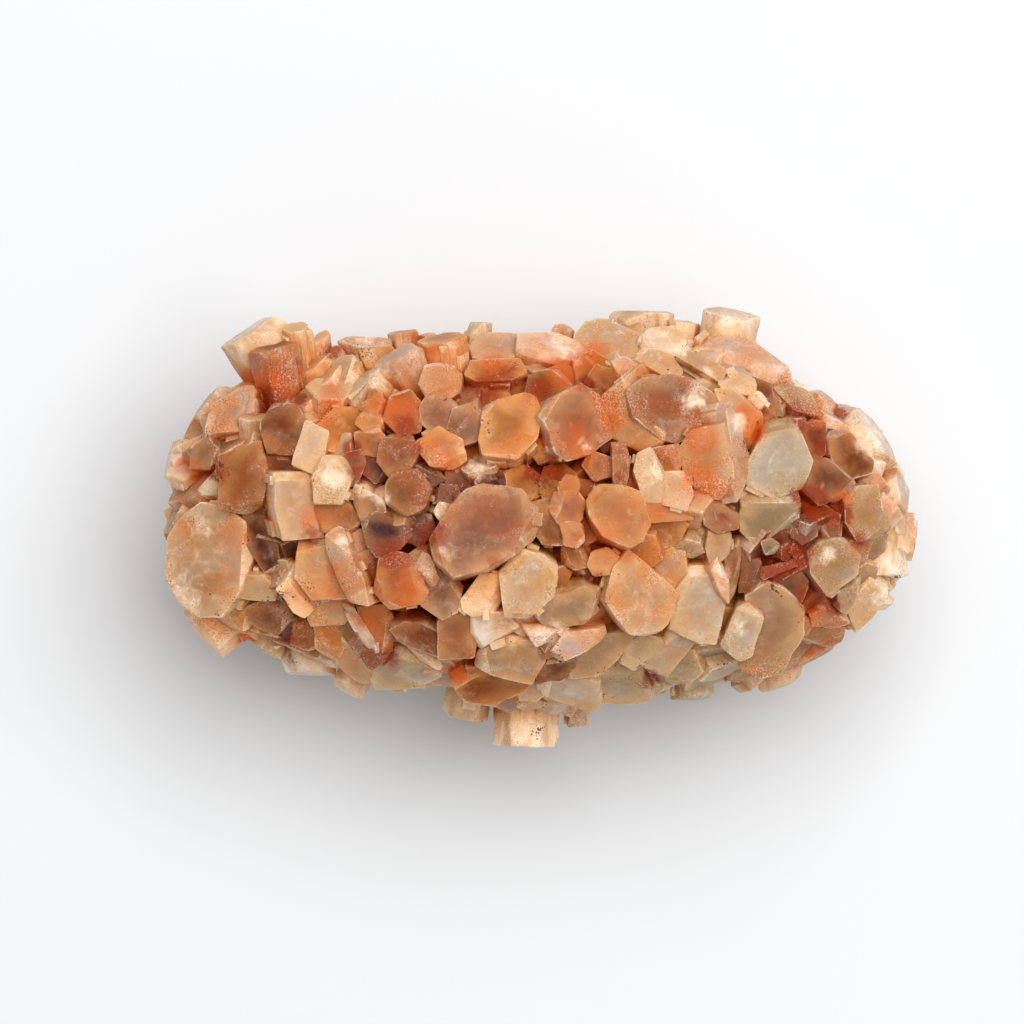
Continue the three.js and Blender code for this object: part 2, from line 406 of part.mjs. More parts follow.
// Crystals set evenly over what the lists leave open, with a seeded unevenness
function flankCrystals(listedEnds, random) {
  const placed = [];
  const crystals = [];
  const climb = THREE.MathUtils.degToRad(FLANK_TOP);
  for (let i = 0; i < FLANK_TRIES; i += 1) {
    const along = FLANK_LENGTH * (2 * (i + 0.5) / FLANK_TRIES - 1);
    const around = climb - (Math.PI + 2 * climb) * ((i * GOLDEN) % 1);
    const end = blockPoint(along, around, FLANK_INSET);
    const tilt = new THREE.Vector3(random() - 0.5, random() - 0.5, random() - 0.5);
    const axis = blockNormal(end).addScaledVector(tilt, FLANK_TILT).normalize();
    end.addScaledVector(axis, -FLANK_SETBACK * random());
    const width = THREE.MathUtils.lerp(...FLANK_WIDTHS, random());
    const thickness = width * THREE.MathUtils.lerp(...FLANK_SLIMNESS, random());
    if (placed.some((other) => other.distanceTo(end) < FLANK_SPACING)) continue;
    if (listedEnds.some((other) => other.distanceTo(end) < FLANK_CLEARANCE)) continue;
    placed.push(end);
    const bearing = THREE.MathUtils.radToDeg(Math.atan2(axis.y, axis.x));
    const rise = THREE.MathUtils.radToDeg(Math.asin(axis.z));
    crystals.push(armCrystal([end.x, end.y, end.z, bearing, rise, width, thickness], random));
  }
  return crystals;
}

function feetCrystals(random) {
  return FEET.map(([x, y, width]) => {
    const rise = -90 + FEET_SPLAY * Math.hypot(x, y);
    const bearing = THREE.MathUtils.radToDeg(Math.atan2(y, x));
    return armCrystal([x, y, -FEET_PROUD, bearing, rise, width, 0.9 * width], random);
  });
}

// ---- the core, the join and the cut ----

function coreSolid() {
  const geometry = new THREE.SphereGeometry(1, CORE_SIDES, CORE_RINGS);
  geometry.rotateZ(Math.PI / 2);
  const position = geometry.attributes.position;
  const point = new THREE.Vector3();
  for (let i = 0; i < position.count; i += 1) {
    point.fromBufferAttribute(position, i);
    const round = Math.hypot(point.y, point.z);
    const swell = (Math.abs(point.x) ** CORE_POWER + round ** CORE_POWER) ** (-1 / CORE_POWER);
    point.multiplyScalar(swell).multiply(CORE);
    position.setXYZ(i, point.x, point.y + planAt(point.x).middle, point.z + MIDDLE);
  }
  return solidFrom(geometry);
}

// Everything above the resting surface
function aboveSurface() {
  const geometry = new THREE.BoxGeometry(4 * HALF_LENGTH, 4 * HALF_LENGTH, 4 * HALF_HEIGHT);
  geometry.translate(0, 0, 2 * HALF_HEIGHT);
  return solidFrom(geometry);
}

// The outer skin alone: hollows that the crystals close off inside are filled in
function outerSkin(mesh) {
  const count = mesh.vertProperties.length / 3;
  const parent = Int32Array.from({ length: count }, (_, i) => i);
  const find = (i) => {
    while (parent[i] !== i) {
      parent[i] = parent[parent[i]];
      i = parent[i];
    }
    return i;
  };
  const triangles = mesh.triVerts;
  for (let i = 0; i < triangles.length; i += 3) {
    parent[find(triangles[i + 1])] = find(triangles[i]);
    parent[find(triangles[i + 2])] = find(triangles[i]);
  }
  const sizes = new Map();
  for (let i = 0; i < triangles.length; i += 3) {
    const root = find(triangles[i]);
    sizes.set(root, (sizes.get(root) ?? 0) + 1);
  }
  const [skin] = [...sizes.entries()].reduce((a, b) => (b[1] > a[1] ? b : a));
  const kept = [];
  for (let i = 0; i < triangles.length; i += 3) {
    if (find(triangles[i]) === skin) kept.push(...triangles.subarray(i, i + 3));
  }
  return kept;
}

// The ends of the crystals in the two lists
function listedEnds() {
  const caps = CAPS.map((row) => capEnd(row));
  const arms = ARMS.map(([x, y, z]) => new THREE.Vector3(x, y, z));
  return [...caps, ...arms];
}

function clusterGeometry() {
  const random = randomFrom(SEED);
  const crystals = [
    ...CAPS.map(capCrystal),
    ...ARMS.map((row) => armCrystal(row, random)),
    ...feetCrystals(random),
    ...flankCrystals(listedEnds(), random),
  ];
  const joined = crystals.reduce((whole, one) => whole.add(one), coreSolid());
  const mesh = joined.intersect(aboveSurface()).getMesh();
  const geometry = new THREE.BufferGeometry();
  geometry.setAttribute('position', new THREE.BufferAttribute(mesh.vertProperties, 3));
  geometry.setIndex(outerSkin(mesh));
  return geometry;
}

// ---- the object ----

const stone = new THREE.MeshStandardMaterial({ color: 0xc98a62, roughness: 0.45, metalness: 0 });
const cluster = new THREE.Mesh(clusterGeometry(), stone);
cluster.name = 'crystal_cluster';

const sputnik = new THREE.Group();
sputnik.add(cluster);

export default sputnik;
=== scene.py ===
"""Aragonite sputnik cluster: stubby six-sided crystals grown together around one core.

The crystals are modelled one by one in millimetres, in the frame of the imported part, joined
into a single skin, roughened, coloured by where they stand on their crystal, and brought to
metres at the end.
"""

import math
import random
from dataclasses import dataclass
from functools import partialmethod

import bmesh
import bpy
import numpy as np
from mathutils import Matrix, Vector


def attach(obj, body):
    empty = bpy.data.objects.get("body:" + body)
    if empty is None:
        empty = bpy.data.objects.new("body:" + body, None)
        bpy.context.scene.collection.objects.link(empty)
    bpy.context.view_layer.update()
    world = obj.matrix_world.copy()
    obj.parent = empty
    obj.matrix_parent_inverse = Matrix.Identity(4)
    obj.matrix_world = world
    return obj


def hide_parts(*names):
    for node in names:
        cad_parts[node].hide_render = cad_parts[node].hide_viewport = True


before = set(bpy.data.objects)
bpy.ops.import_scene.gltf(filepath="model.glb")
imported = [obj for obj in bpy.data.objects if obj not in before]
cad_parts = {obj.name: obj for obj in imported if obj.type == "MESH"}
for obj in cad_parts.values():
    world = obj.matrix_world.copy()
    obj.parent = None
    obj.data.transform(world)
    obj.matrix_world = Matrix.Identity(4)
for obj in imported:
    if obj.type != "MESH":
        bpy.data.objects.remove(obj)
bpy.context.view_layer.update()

# ---- the rounded block that the crystal ends lie on, as in the part's source, in mm ----

HALF_LENGTH = 37.5
HALF_HEIGHT = 20
MIDDLE = 20
LONG_POWER = 2.7
CROSS_POWER = 2.2
THINNEST = 0.02  # part of its size that is left of the block at its ends, squared
# Its outline in plan: x, front edge y, back edge y
PLAN = np.array([
    (-37.5, -2, 5), (-36, -6, 8.5), (-33, -11, 12.5), (-30, -12.5, 15), (-26, -13.5, 18.5),
    (-18, -15.5, 19), (-8, -17.5, 19.3), (0, -19.5, 19.3), (8, -17.5, 20), (18, -16.5, 20),
    (24, -15.5, 16), (29, -12, 13), (33, -9, 10), (36, -5, 5.5), (37.5, -1.5, 0.5),
])

CAP_REACH = 13  # mm from the end face down to the root
ARM_REACH = 15
ROOT_WIDTH = 0.9  # part of its width that a crystal keeps at the root
TURN_UNEVEN = 0.3  # how far the corners of a six-sided outline are out of place
SIZE_UNEVEN = 0.12

CORE = (33, 15, 15.8)
CORE_POWER = 2.5

SEED = 37
GOLDEN = (math.sqrt(5) - 1) / 2
FLANK_TRIES = 170
FLANK_SPACING = 7.8
FLANK_CLEARANCE = 5.4  # mm from the listed ones
FLANK_LENGTH = 0.95
FLANK_TOP = 34  # degrees up from the widest line
FLANK_INSET = 0.8
FLANK_SETBACK = 1.5
FLANK_TILT = 0.45
FLANK_SLIMNESS = (0.7, 0.95)
FLANK_WIDTHS = (6.4, 9.4)
# Crystals that the cluster stands on: x, y, width
FEET = ((-14, 4, 7), (-8, -5.5, 6.4), (-3, 3.5, 7.2), (4, -2.5, 6.2), (9, 6, 6), (12, -4.5, 6.8))
FEET_PROUD = 0.4
FEET_SPLAY = 0.9
FEET_SLIMNESS = 0.9

# ---- the crystals that show from above, one a line ----
# End faces: colour, lean of the axis towards x and y, height over the block | corners in plan

CAPS = """
# top left
petal -0.45 0.35 0.6 | -33.2,9.3 -32.4,12.2 -29.7,13.9 -28.5,14 -29,11.1 -30,10.1
mauve -0.62 0.2 0.2 | -34.7,6 -34.5,7.6 -33.2,9.1 -32.2,7.8 -32.9,6
brown -0.2 0.05 0.4 | -31.6,6.9 -27.7,8.4 -27,5.1 -27.7,2.4 -29.3,1.6 -31.5,2.1
white -0.5 -0.2 -0.6 | -33.6,3.8 -32.2,5.5 -31.2,5 -31,2 -33.4,2.2
dusk -0.2 0.25 -0.2 | -27.5,10 -26.4,12.2 -24.2,12 -23,10.2 -24.4,7.4 -26.8,7.6
dusk -0.15 0.05 -1.4 | -27.2,7.7 -24.3,7.8 -22.6,5.4 -26,4.9 -27.3,6
cream -0.1 0.2 0.4 | -24.4,6.4 -23.1,10.4 -21,9.3 -21.7,5.3
peach 0.25 -0.1 0.5 | -25.9,5.1 -22.2,5.2 -22.3,2 -21.4,-0.7 -25.2,-1 -25.8,2
shadow -0.1 -0.1 -2.0 | -29.3,1.2 -27.8,2.1 -26.4,-0.8 -25.7,-3.9 -27.2,-4.3 -28.8,-1.6
peach -0.25 -0.4 -0.8 | -29.1,-4.9 -27.5,-5 -26.2,-6.2 -26.4,-7.2 -29.8,-7
dusk -0.2 -0.5 -1.0 | -29,-8 -27,-7.3 -25.4,-7.6 -25,-9.5 -26.3,-10.6 -28.8,-9.3
peach -0.42 -0.05 0.8 | -37,-4.9 -36.8,-1 -35.6,0.8 -33.6,2.3 -31.2,1.8 -29.4,0.4 -29,-2.8 \
-30,-6.4 -31.6,-8.6 -33.7,-8.7 -35.7,-7.2
peach -0.1 -0.15 0.0 | -23.7,-1.5 -21.2,-1.1 -20.9,-3 -19.2,-6.8 -22.5,-6.9 -23.9,-4.8
amber -0.1 -0.4 0.3 | -25.8,-6.3 -24.2,-4.3 -22.4,-6.9 -22.4,-7.9 -23.3,-8.8 -24.2,-8.2
peach 0 -0.45 -0.6 | -22.6,-7 -19.3,-6.9 -18.4,-8.2 -19.6,-9.5 -22.4,-9.7 -23.1,-8.6
orange 0 -0.6 -0.4 | -22.3,-9.6 -19.9,-9.5 -19.2,-11 -20.1,-13.6 -22,-12.4
blush 0.25 -0.35 0.5 | -19.1,-8.1 -18.2,-8.2 -15.8,-11.9 -17,-12.1
dusk -0.4 -0.45 0.2 | -19.8,-10.1 -18.9,-9.4 -16.9,-12 -15.7,-13.1 -16.8,-14.1
salmon 0 -0.4 -1.2 | -18,-8 -15.2,-7.8 -14.5,-9.6 -14.7,-12.3 -15.9,-12.3
petal -0.32 -0.1 0.8 | -21,-0.7 -19.8,-0.1 -18.9,-2.4 -17.6,-4.8 -16.9,-7.5 -19,-7 -20.9,-2.4
peach -0.2 -0.8 0.2 | -19.6,-11.2 -16.9,-13.7 -16.4,-15.7 -18.2,-15.5 -20.2,-14.2
# centre left
cream -0.1 0.1 0.6 | -22.1,2.6 -22.2,5 -21.3,6.9 -19.3,6.9 -18.5,5.4 -19.6,2.6
brown -0.1 0.05 -0.9 | -22.3,2.4 -18.5,2.6 -17.7,0.8 -18.6,-0.2 -21.2,-0.3
mauve -0.1 0.1 -0.3 | -18.4,4 -16.8,3.4 -15.6,2.6 -15.3,1.2 -17.4,0.6 -18.1,2.4
shadow 0 0.02 -0.2 | -17.4,0.7 -15.2,1.8 -13.4,0.6 -12.7,-0.6 -14,-2 -16,-2.7 -16.9,-1.4
dusk -0.16 0.1 0.6 | -15,4.3 -14.3,5.3 -12.1,5.6 -11,4 -11.6,2 -13.4,1.3 -15,2.6
dusk -0.1 0.1 -0.8 | -19.3,7.2 -17.7,7.5 -17.3,6.3 -18.2,4.3 -19.3,4.6
shadow 0 0.1 -1.5 | -17.2,7.4 -15.4,7 -15,5 -16.3,4.6 -17.4,5.6
mauve 0.06 0.16 1.3 | -10.6,-1 -8.6,2.1 -7.1,3.6 -5.6,4.2 -2,3.6 -0.3,1.7 -0.4,-0.2 -2.2,-2.2 \
-5,-3.8 -8.3,-4.6 -10.1,-3
dusk -0.15 0.2 0.2 | -15.8,6.6 -15.6,8.3 -14.6,9.1 -12.8,9 -12.2,7.3 -13.4,5.2 -14.9,5.3
orange 0 0.15 0.0 | -12.4,8.2 -9.9,9.8 -7.8,8.5 -7.4,6.8 -8.8,6 -10.6,6.3
mauve -0.05 0.25 -0.2 | -12.1,11 -11.2,12.7 -9.1,13 -7.9,11.8 -8.4,10 -10.6,9.6
mauve 0.05 0.2 0.1 | -8.9,10 -8.4,11.6 -6.8,12.1 -5.5,10.9 -5.7,9 -7.4,8.4
petal -0.1 0.3 0.6 | -11.8,14.2 -11.2,15.9 -9.5,16.2 -8,15.3 -8.2,13.7 -9.7,12.9 -11.1,13.1
rust 0 0.3 -0.5 | -15.3,10.8 -14.7,13 -13,13.6 -11.6,12 -11.9,9.7 -13.7,9.2
salmon -0.15 0.15 -0.9 | -18.2,9.4 -16.2,10 -15.2,8.6 -15.8,7.2 -18,7.4
# top centre
blush -0.15 0.8 0.3 | -19.9,18.7 -19.2,19.5 -15.1,19.3 -15.2,18.3 -17.2,17.9
orange -0.1 0.6 -0.8 | -17.9,17.6 -15,18 -13.9,16.9 -15,15.9 -17,16.1
petal -0.05 0.6 0.3 | -6.9,18.1 -5.6,19.4 -2.2,19.3 -1.9,17.3 -4.2,16.7 -6.5,17
orange 0 0.65 0.2 | -7.2,15.2 -6.6,16.6 -2.2,16.7 -1.4,15.4 -3,14.8 -6,14.6
orange 0.02 0.38 1.0 | -5.4,12 -1.8,13.2 -0.6,12.8 0,11.3 -0.5,9 -2.2,7.1 -5.4,7.4 -5.8,8.7
rose 0.32 0.1 1.3 | 0.3,11 1.5,12.6 4,14 5.8,12.9 7,9 4.8,7.4 2.7,6.8 1.6,7.6 1.2,9.4
brown 0 0.5 -0.6 | -1.3,13.2 -0.9,15.3 1.8,15.7 3,14.2 1.4,12.4 0,11.8
blush 0.15 0.68 0.4 | -2,17.8 -2,19.3 1.5,19.3 3.6,18.5 5.9,16.2 5.2,15.6 0.5,17.2
peach 0.1 0.58 0.3 | 3.9,19.6 4.8,20.8 7.4,20.6 9.9,19.3 9.3,16.7 6.3,16.2 3.8,18.4
rust 0.1 0.4 -0.6 | 4.4,14.1 5.7,16.1 8.2,15.4 9,14.2 6.9,12.8
white 0.1 0.6 0.5 | 10.1,18.2 10.9,19.7 13.4,20 14.6,18.9 13.8,17.3 11.3,16.9
peach 0.1 0.45 0.0 | 9.4,16.8 10.5,17.9 12.9,17.1 14,15.5 12.8,14.9
blush 0.2 0.65 0.3 | 15,18.3 17,19.9 19.8,19.1 22,17.8 25.2,15.6 24,15.1 20,16.9 16.5,17.3
cream 0.2 0.45 0.3 | 18,15 19.5,15.6 21.2,15 21.2,13.2 18.2,13.8
dusk 0.3 0.4 -0.6 | 21.1,14.9 23.3,14 23.8,11.2 22.2,11.2 21,12.6
beige 0.35 0.55 0.4 | 23.3,13.9 24.9,14.5 26.4,13.9 27.9,11.2 25.4,11.8
mauve 0.36 0.14 1.0 | 8.7,13.5 10.5,14.7 13,14.9 15.2,14.4 17.5,12.8 16.3,10.8 13.6,8.5 12,9 9.5,11
peach -0.3 -0.3 -0.1 | 6,10.6 6.2,12.8 8.2,14.3 8.8,12.8 9.6,11 12.2,9.2 11.6,7.9 9.2,6.9 7.4,8.1
peach 0.4 0.25 -0.3 | 17.4,13.6 19.8,13.7 21.9,12 22.1,10.4 21,8.2 19.6,8.6
blush 0.76 0.12 0.6 | 18.4,11.2 19,12.2 20.6,7 20.2,4.5 19.5,2.7 18.9,4.5 19.1,7.5
peach -0.12 -0.12 0.4 | 13.7,7.4 14.9,9.4 18,10 18.6,7 18.9,4.4 17.6,2.9 15.7,3.5 14.5,5.4
sage 0.25 0.1 0.3 | 20.6,6.2 22.2,9.3 22.5,11 24.9,11.1 26.8,6.6 25.8,4 23.2,3.1 20.4,4.5
olive 0.15 -0.05 -0.3 | 20,4.3 22,2.9 25.5,3.5 25.5,0.7 23.6,-1 21.4,-1.7 20,-0.2
# right
dusk 0.42 0.3 0.3 | 28.8,9.2 29.8,9.9 31,9.1 33,6.7 32.9,5.6 30.4,4.9 28.9,7.3
russet 0.35 0.3 -0.6 | 25.9,10 27.4,11 28.8,9.6 28.8,7.6 26.8,6.9
dusk 0.35 0.1 0.0 | 26.8,6.9 29.5,6.6 31.5,5 30.3,3.2 27.7,2.4 25.6,4.1
beige 0.48 0.02 0.3 | 30.3,3.1 31,3.8 33.4,4 33.8,1.8 35,-0.2 33,-1.1 31.5,-1.1 30.5,0.6
beige 0.38 -0.12 0.4 | 26.9,-2.6 27.9,-1.6 30.1,-1.2 31.5,-2.9 31.3,-4.5 28.5,-6.6 27,-4.4
shadow 0.2 -0.15 -1.3 | 22.1,-4.9 25.2,-3.7 26.3,-5.3 25.5,-7.4 23.3,-6.2
beige 0.4 -0.45 0.2 | 29.6,-7.9 30.2,-6.7 32.4,-5.4 31.5,-7 30.6,-8.5
cream 0.5 -0.5 0.3 | 30.9,-8.3 31.9,-6.6 33.3,-4.9 35,-6.2 33,-8.9 31.6,-10.3
rose 0.3 -0.45 -0.4 | 26.8,-8.2 28.8,-7.5 30.2,-8.6 30.9,-9.8 29,-10.1 27.3,-9.7
mauve 0.3 -0.6 -0.4 | 25.7,-10.2 28.5,-9.9 30.3,-10.1 29.9,-11.4 28.4,-12 26.4,-11.4
# centre and lower right
salmon 0.02 0 0.6 | 1,1.9 1.6,3.3 3.6,3.4 4.2,2.6 4,0.9 2.8,0 1.9,0.6
brown 0 0 -0.4 | -0.6,2.3 0.6,2.7 1.5,1.5 2.1,0.2 2.1,-1.5 0.3,-1.4 -0.4,-0.2
brown 0.05 0.05 -1.0 | 4.3,6.2 5.2,7.4 7,6.7 6.9,5.2 5.4,4.8
rust 0.05 0.1 0.2 | 7.1,8.2 8.4,8.2 8.7,6.2 8.5,4.5 7.3,4.6
orange 0.12 0.15 1.2 | 4.8,2.7 6,4.2 8.2,4 9.8,3.3 10.8,0.5 9.7,-1.3 8.7,-1.7 6.3,-0.6 5.1,1.2
cream 0.1 0.15 0.2 | 9.5,5.5 9.7,7.2 11,7.7 12.1,6.3 12,2.8 10.3,2.8
salmon 0.1 0.15 0.0 | 11.3,7.7 13.6,8.1 13.7,5.6 12.2,5.3
peach 0.15 0.05 0.2 | 12.1,5.3 14.4,5.4 14.9,3.3 14.3,1.9 12.2,2.5
orange 0.1 0 -0.4 | 10.4,2.9 12.5,2.8 15.2,1.9 14.8,0.9 11,0.6
dusk 0.15 0 -0.5 | 16.1,2 17.9,2.1 19.5,1.4 19.4,0 17.5,-0.3 16.5,0.4
beige 0.2 -0.1 -0.5 | 16.8,-0.4 18.8,-0.7 18.5,-2.4 17,-4 16.6,-2
peach 0.24 -0.1 0.9 | 6.6,-7.2 7.4,-4.2 8.7,-2.4 11.4,-4.6 13.6,-6.7 12.4,-9.3 11,-10.6 \
8.9,-10.2 7.8,-8.7
orange 0 0 -0.3 | 4.9,-3.6 5.3,-2.5 6.6,-2.1 7.9,-3.2 7.6,-4.4 5.4,-4.6
beige 0.04 -0.42 -0.2 | -0.6,-8.4 1.4,-6.8 4.3,-6 5.8,-6.4 5.6,-8 4.1,-9.3 0.8,-9.8
cream 0.18 -0.3 0.1 | 13.4,-6.6 15,-4.3 17.2,-4.2 18.2,-7.5 17.3,-11.3 15.7,-11.2 13,-9.9
dusk 0.3 -0.05 -0.7 | 18.4,-2.3 19,0.1 20.1,-0.1 20.1,-3 19.5,-6.3 18.6,-7.3
shadow 0.15 -0.1 -1.0 | 20.1,-2 21.5,-2.8 21.9,-4.7 20.9,-6.1 19.7,-6.3
beige 0.15 -0.35 0.2 | 20.5,-6.3 22.1,-5.4 24.2,-6.3 25.9,-8 25.9,-10.6 23.9,-14.3 21.8,-14.8 19.9,-13.6
cream 0 -0.35 1.3 | 18,-11.7 19.4,-8.2 20.5,-7.9 21.9,-9.1 20.9,-12.5 19.8,-13
cream 0.1 -0.6 0.5 | 10.1,-13.2 12.3,-11.7 13.1,-10.2 15.1,-10 15.9,-11.3 13.8,-13.9 12.5,-14.8 11,-14.6
sage 0 -0.5 0.0 | 7.4,-12.9 8.6,-11.6 10,-10.8 11.7,-11 12.2,-11.8 9.4,-14
beige 0 -0.45 -0.3 | 3,-13 6.3,-10.8 9.6,-10.3 7.4,-13 5.9,-14.4 3,-14.9
blush 0.05 -0.38 0.4 | 1,-12.7 2.7,-10.5 6.2,-10.1 6.4,-10.8 4.4,-12 2,-13.3
sage 0.03 -0.75 -0.2 | 4.9,-15 7.4,-13.8 9.9,-14 11.3,-16.9 9.4,-17.6 6.4,-17.3
cream 0.08 -0.8 -0.2 | 0.1,-15.4 3.9,-15.1 5.9,-15.6 6.1,-17.6 4.9,-18.5 0.6,-17
# lower left of centre
salmon -0.05 -0.05 0.7 | -16.2,-6.2 -14.7,-7.9 -11.8,-7.3 -11.2,-6.2 -12.6,-3 -14.3,-2.5 -15.7,-3.2
mauve 0 -0.1 0.3 | -12.7,-2.8 -11.5,-1.9 -10.3,-2.2 -7.8,-5.9 -8.3,-8.1 -9.7,-8.8 -11.6,-7.4
blush -0.05 -0.1 0.6 | -12.8,-3.9 -12,-2.4 -10.9,-3 -10,-5.1 -10.5,-6
amber -0.05 -0.15 0.5 | -7.9,-7.5 -5.7,-4.7 -3.9,-4.9 -3.5,-6.4 -4.6,-8.4 -6.6,-8.6
cream 0.02 -0.22 0.8 | -3.8,-4.6 -1.8,-2.4 0.2,-3 1.5,-4 1.2,-6.7 -1.3,-8.9 -3.3,-8.7
dusk -0.02 -0.45 -0.2 | -14.6,-10.2 -13.2,-9.5 -11,-9.6 -9.9,-10.3 -9.9,-13.1 -13,-11.9
rose 0 -0.42 0.1 | -9.9,-9.4 -8.7,-8.5 -6.6,-8.5 -6.2,-9.8 -6.6,-12.7 -9.9,-12.9
white 0.05 -0.4 0.2 | -6.6,-8.8 -3.4,-8.5 -1.7,-10.6 -3.4,-11.4 -5.8,-12.3 -6.5,-11
beige 0.02 -0.55 -0.2 | -5.8,-12.5 -3.6,-11.3 -0.4,-11.3 0.3,-13.2 -0.9,-15.4 -6.2,-14.2
shadow 0.05 -0.55 -0.3 | 1,-13.3 3.4,-12.9 3.2,-14 2,-15 0,-15.4 -0.2,-14.7
brown 0 -0.72 0.4 | -8.9,-15.6 -7.4,-14.8 -5.2,-14.4 -2.4,-15 -0.8,-15.7 -4.6,-17.6 -7.2,-17.2
sage -0.1 -0.75 -0.3 | -16.7,-14 -14.7,-12.5 -12.6,-12.9 -10.1,-14.8 -13,-16 -16,-16.4
"""

SMALL_CAPS = """
orange -0.4 -0.5 -0.6 | -30.7,-8.6 -29.6,-7.8 -28.6,-9.3 -29.3,-10.1 -30.3,-9.5
brown -0.2 -0.6 -0.8 | -24.6,-11.6 -24.4,-10.1 -22.9,-9.7 -22.1,-10.7 -22.6,-12.2
shadow 0 0.05 -0.6 | -10,3.3 -9.6,4.1 -8.3,4.1 -8,3.3 -8.8,2.1 -9.9,2.2
white 0 0 0.2 | -10.3,1.6 -9.8,2.3 -8.8,2.1 -8.9,1.2 -9.7,0.8
shadow 0 0.1 -1.5 | -12,7 -10.4,6 -9.5,4.9 -10.5,4.3 -11.9,5.4
brown -0.2 0.3 -0.4 | -17.6,11.8 -17,13.2 -15.8,13.3 -15.2,12.1 -16.2,11.2
orange -0.2 0.2 -0.4 | -18,10.3 -17.4,11.7 -15.9,11.3 -15.7,10 -17,9.5
petal 0.15 0.5 0.4 | 7.3,16.5 8.6,17.2 10,16.6 9.7,15.4 8,15.2
beige 0.15 0.28 0.8 | 13.8,16.9 14.8,17.9 18.3,15.7 17.7,14.5
white 0.3 0.4 0.3 | 20.9,12.9 21.6,13.4 22.4,12.8 22,12 21.1,12.1
umber 0.15 -0.1 0.1 | 22,-1.5 22.8,-1.3 23.5,-1.7 23.1,-2.4 22.4,-2.5
shadow 0.25 0 -1.2 | 25.1,0.2 26.3,1.1 27.3,0.4 27.2,-0.7 26,-1.5 25,-0.8
dusk 0.35 0.05 -1.0 | 28,0.3 29,0.7 29.7,0.3 29.7,-0.7 28.4,-1
russet 0.2 0.1 -1.0 | 21.8,-4.3 22.2,-3.9 25.2,-3.1 25.3,-3.8 22.3,-5
rust 0 0.1 0.3 | 2,4.2 2.6,5.1 3.5,4.9 3.8,4.2 3.5,3.4 2.1,3.3
salmon 0.05 -0.1 0.4 | 2.1,0.3 2.9,0.4 4.1,0.2 4.2,-1.2 3.6,-1.8 2.5,-1.5
brown 0 -0.05 -1.2 | 2.3,-1.8 4,-1.7 4.9,-3.7 3.4,-3.9 2.3,-3.4
blush 0.42 -0.12 0.5 | 17,-4.3 18,-2.9 18.6,-4.7 18.6,-7.3 17.8,-6.2
blush 0.05 -0.35 0.2 | -1.6,-9.9 2.5,-9.9 1.1,-11.1 -0.2,-11.5
russet 0.05 -0.4 -0.2 | 0.2,-11.3 1.1,-10.6 2.8,-10.3 1.6,-12.2 0.9,-13.1
cream 0 -0.5 0.5 | -13.2,-12.1 -11.2,-12.7 -9.9,-13.6 -10.1,-14.1 -11.6,-13.5
"""

# Crystals seen from the side: colour, end x y z, bearing and rise in degrees, width, thickness

ARMS = """
# left rim
white -28.8 19.8 24 121 8 6.8 5.5
rust -26.4 18 28 102 10 5.4 5
peach -24.3 20 25.5 100 22 2.8 2.8
blush -21.9 19.3 24 95 20 2.4 2.4
peach -33.3 12.6 22.5 142 5 5.6 5
white -37 6.9 22 168 6 4.8 4.6
mauve -35.4 3.1 23 182 12 3.4 4
amber -33.6 -10.8 22 221 8 6.8 5
cream -26.9 -12.8 20 245 3 3 4
white -23.2 -14.5 20 266 5 5.6 5
white -19.2 -16.5 20 245 5 3.7 4
# top left arc
peach -20.6 15 28.5 128 32 6.8 5
peach -20.4 10.4 31 162 14 5 4.4
cream -17.9 13.9 31.6 138 16 5.6 4.4
blush -14.2 17.2 31 118 16 5.4 4.2
orange -9.7 18.8 30 97 14 5 4.2
orange -13.6 19.6 22 97 4 3.4 4
peach -10.9 19.3 22 93 4 2.6 4
peach -8.6 19.5 22 90 3 2.4 4
cream -6.1 20.5 21 90 2 3 4
peach 2.5 20.2 22 80 6 2.3 3
white 10.3 21.5 20 89 2 7 4.4
white 19.2 21.4 23 80 12 6.4 4.6
white 14.6 20.6 21 85 4 3.4 4
# right rim
white 26 14.4 22 62 6 2.2 3.4
blush 28.5 13.1 23 55 8 3.8 4
white 33.6 9.3 24 34 14 7 5
blush 36.4 3.6 24 14 14 5.4 5
peach 37.6 -1.2 20 -8 0 4.8 5
white 36.1 -4.7 18 -22 -4 4 5
white 34.8 -8 18 -40 -4 2.6 4
salmon 27.6 -13 21 -60 6 5.2 4.4
cream 24.4 -15.8 17 -70 -12 5.4 4.4
# bottom rim
beige 17 -1.2 35.4 -10 32 5 4
beige 20.5 -16.5 19 -82 2 2.6 4
sage 15.2 -17.2 20 -88 3 4.6 5
sage 8.8 -17.5 20 -88 5 5 5
white 3.8 -19.9 18 -88 -4 2.6 4
white -1.3 -21.9 20 -92 0 7 6
white -7.5 -19.2 20 -100 0 4.8 5
sage -14.5 -16.4 20 -95 4 3.4 5
sage -11.7 -15.7 20 -82 5 3.4 5
"""
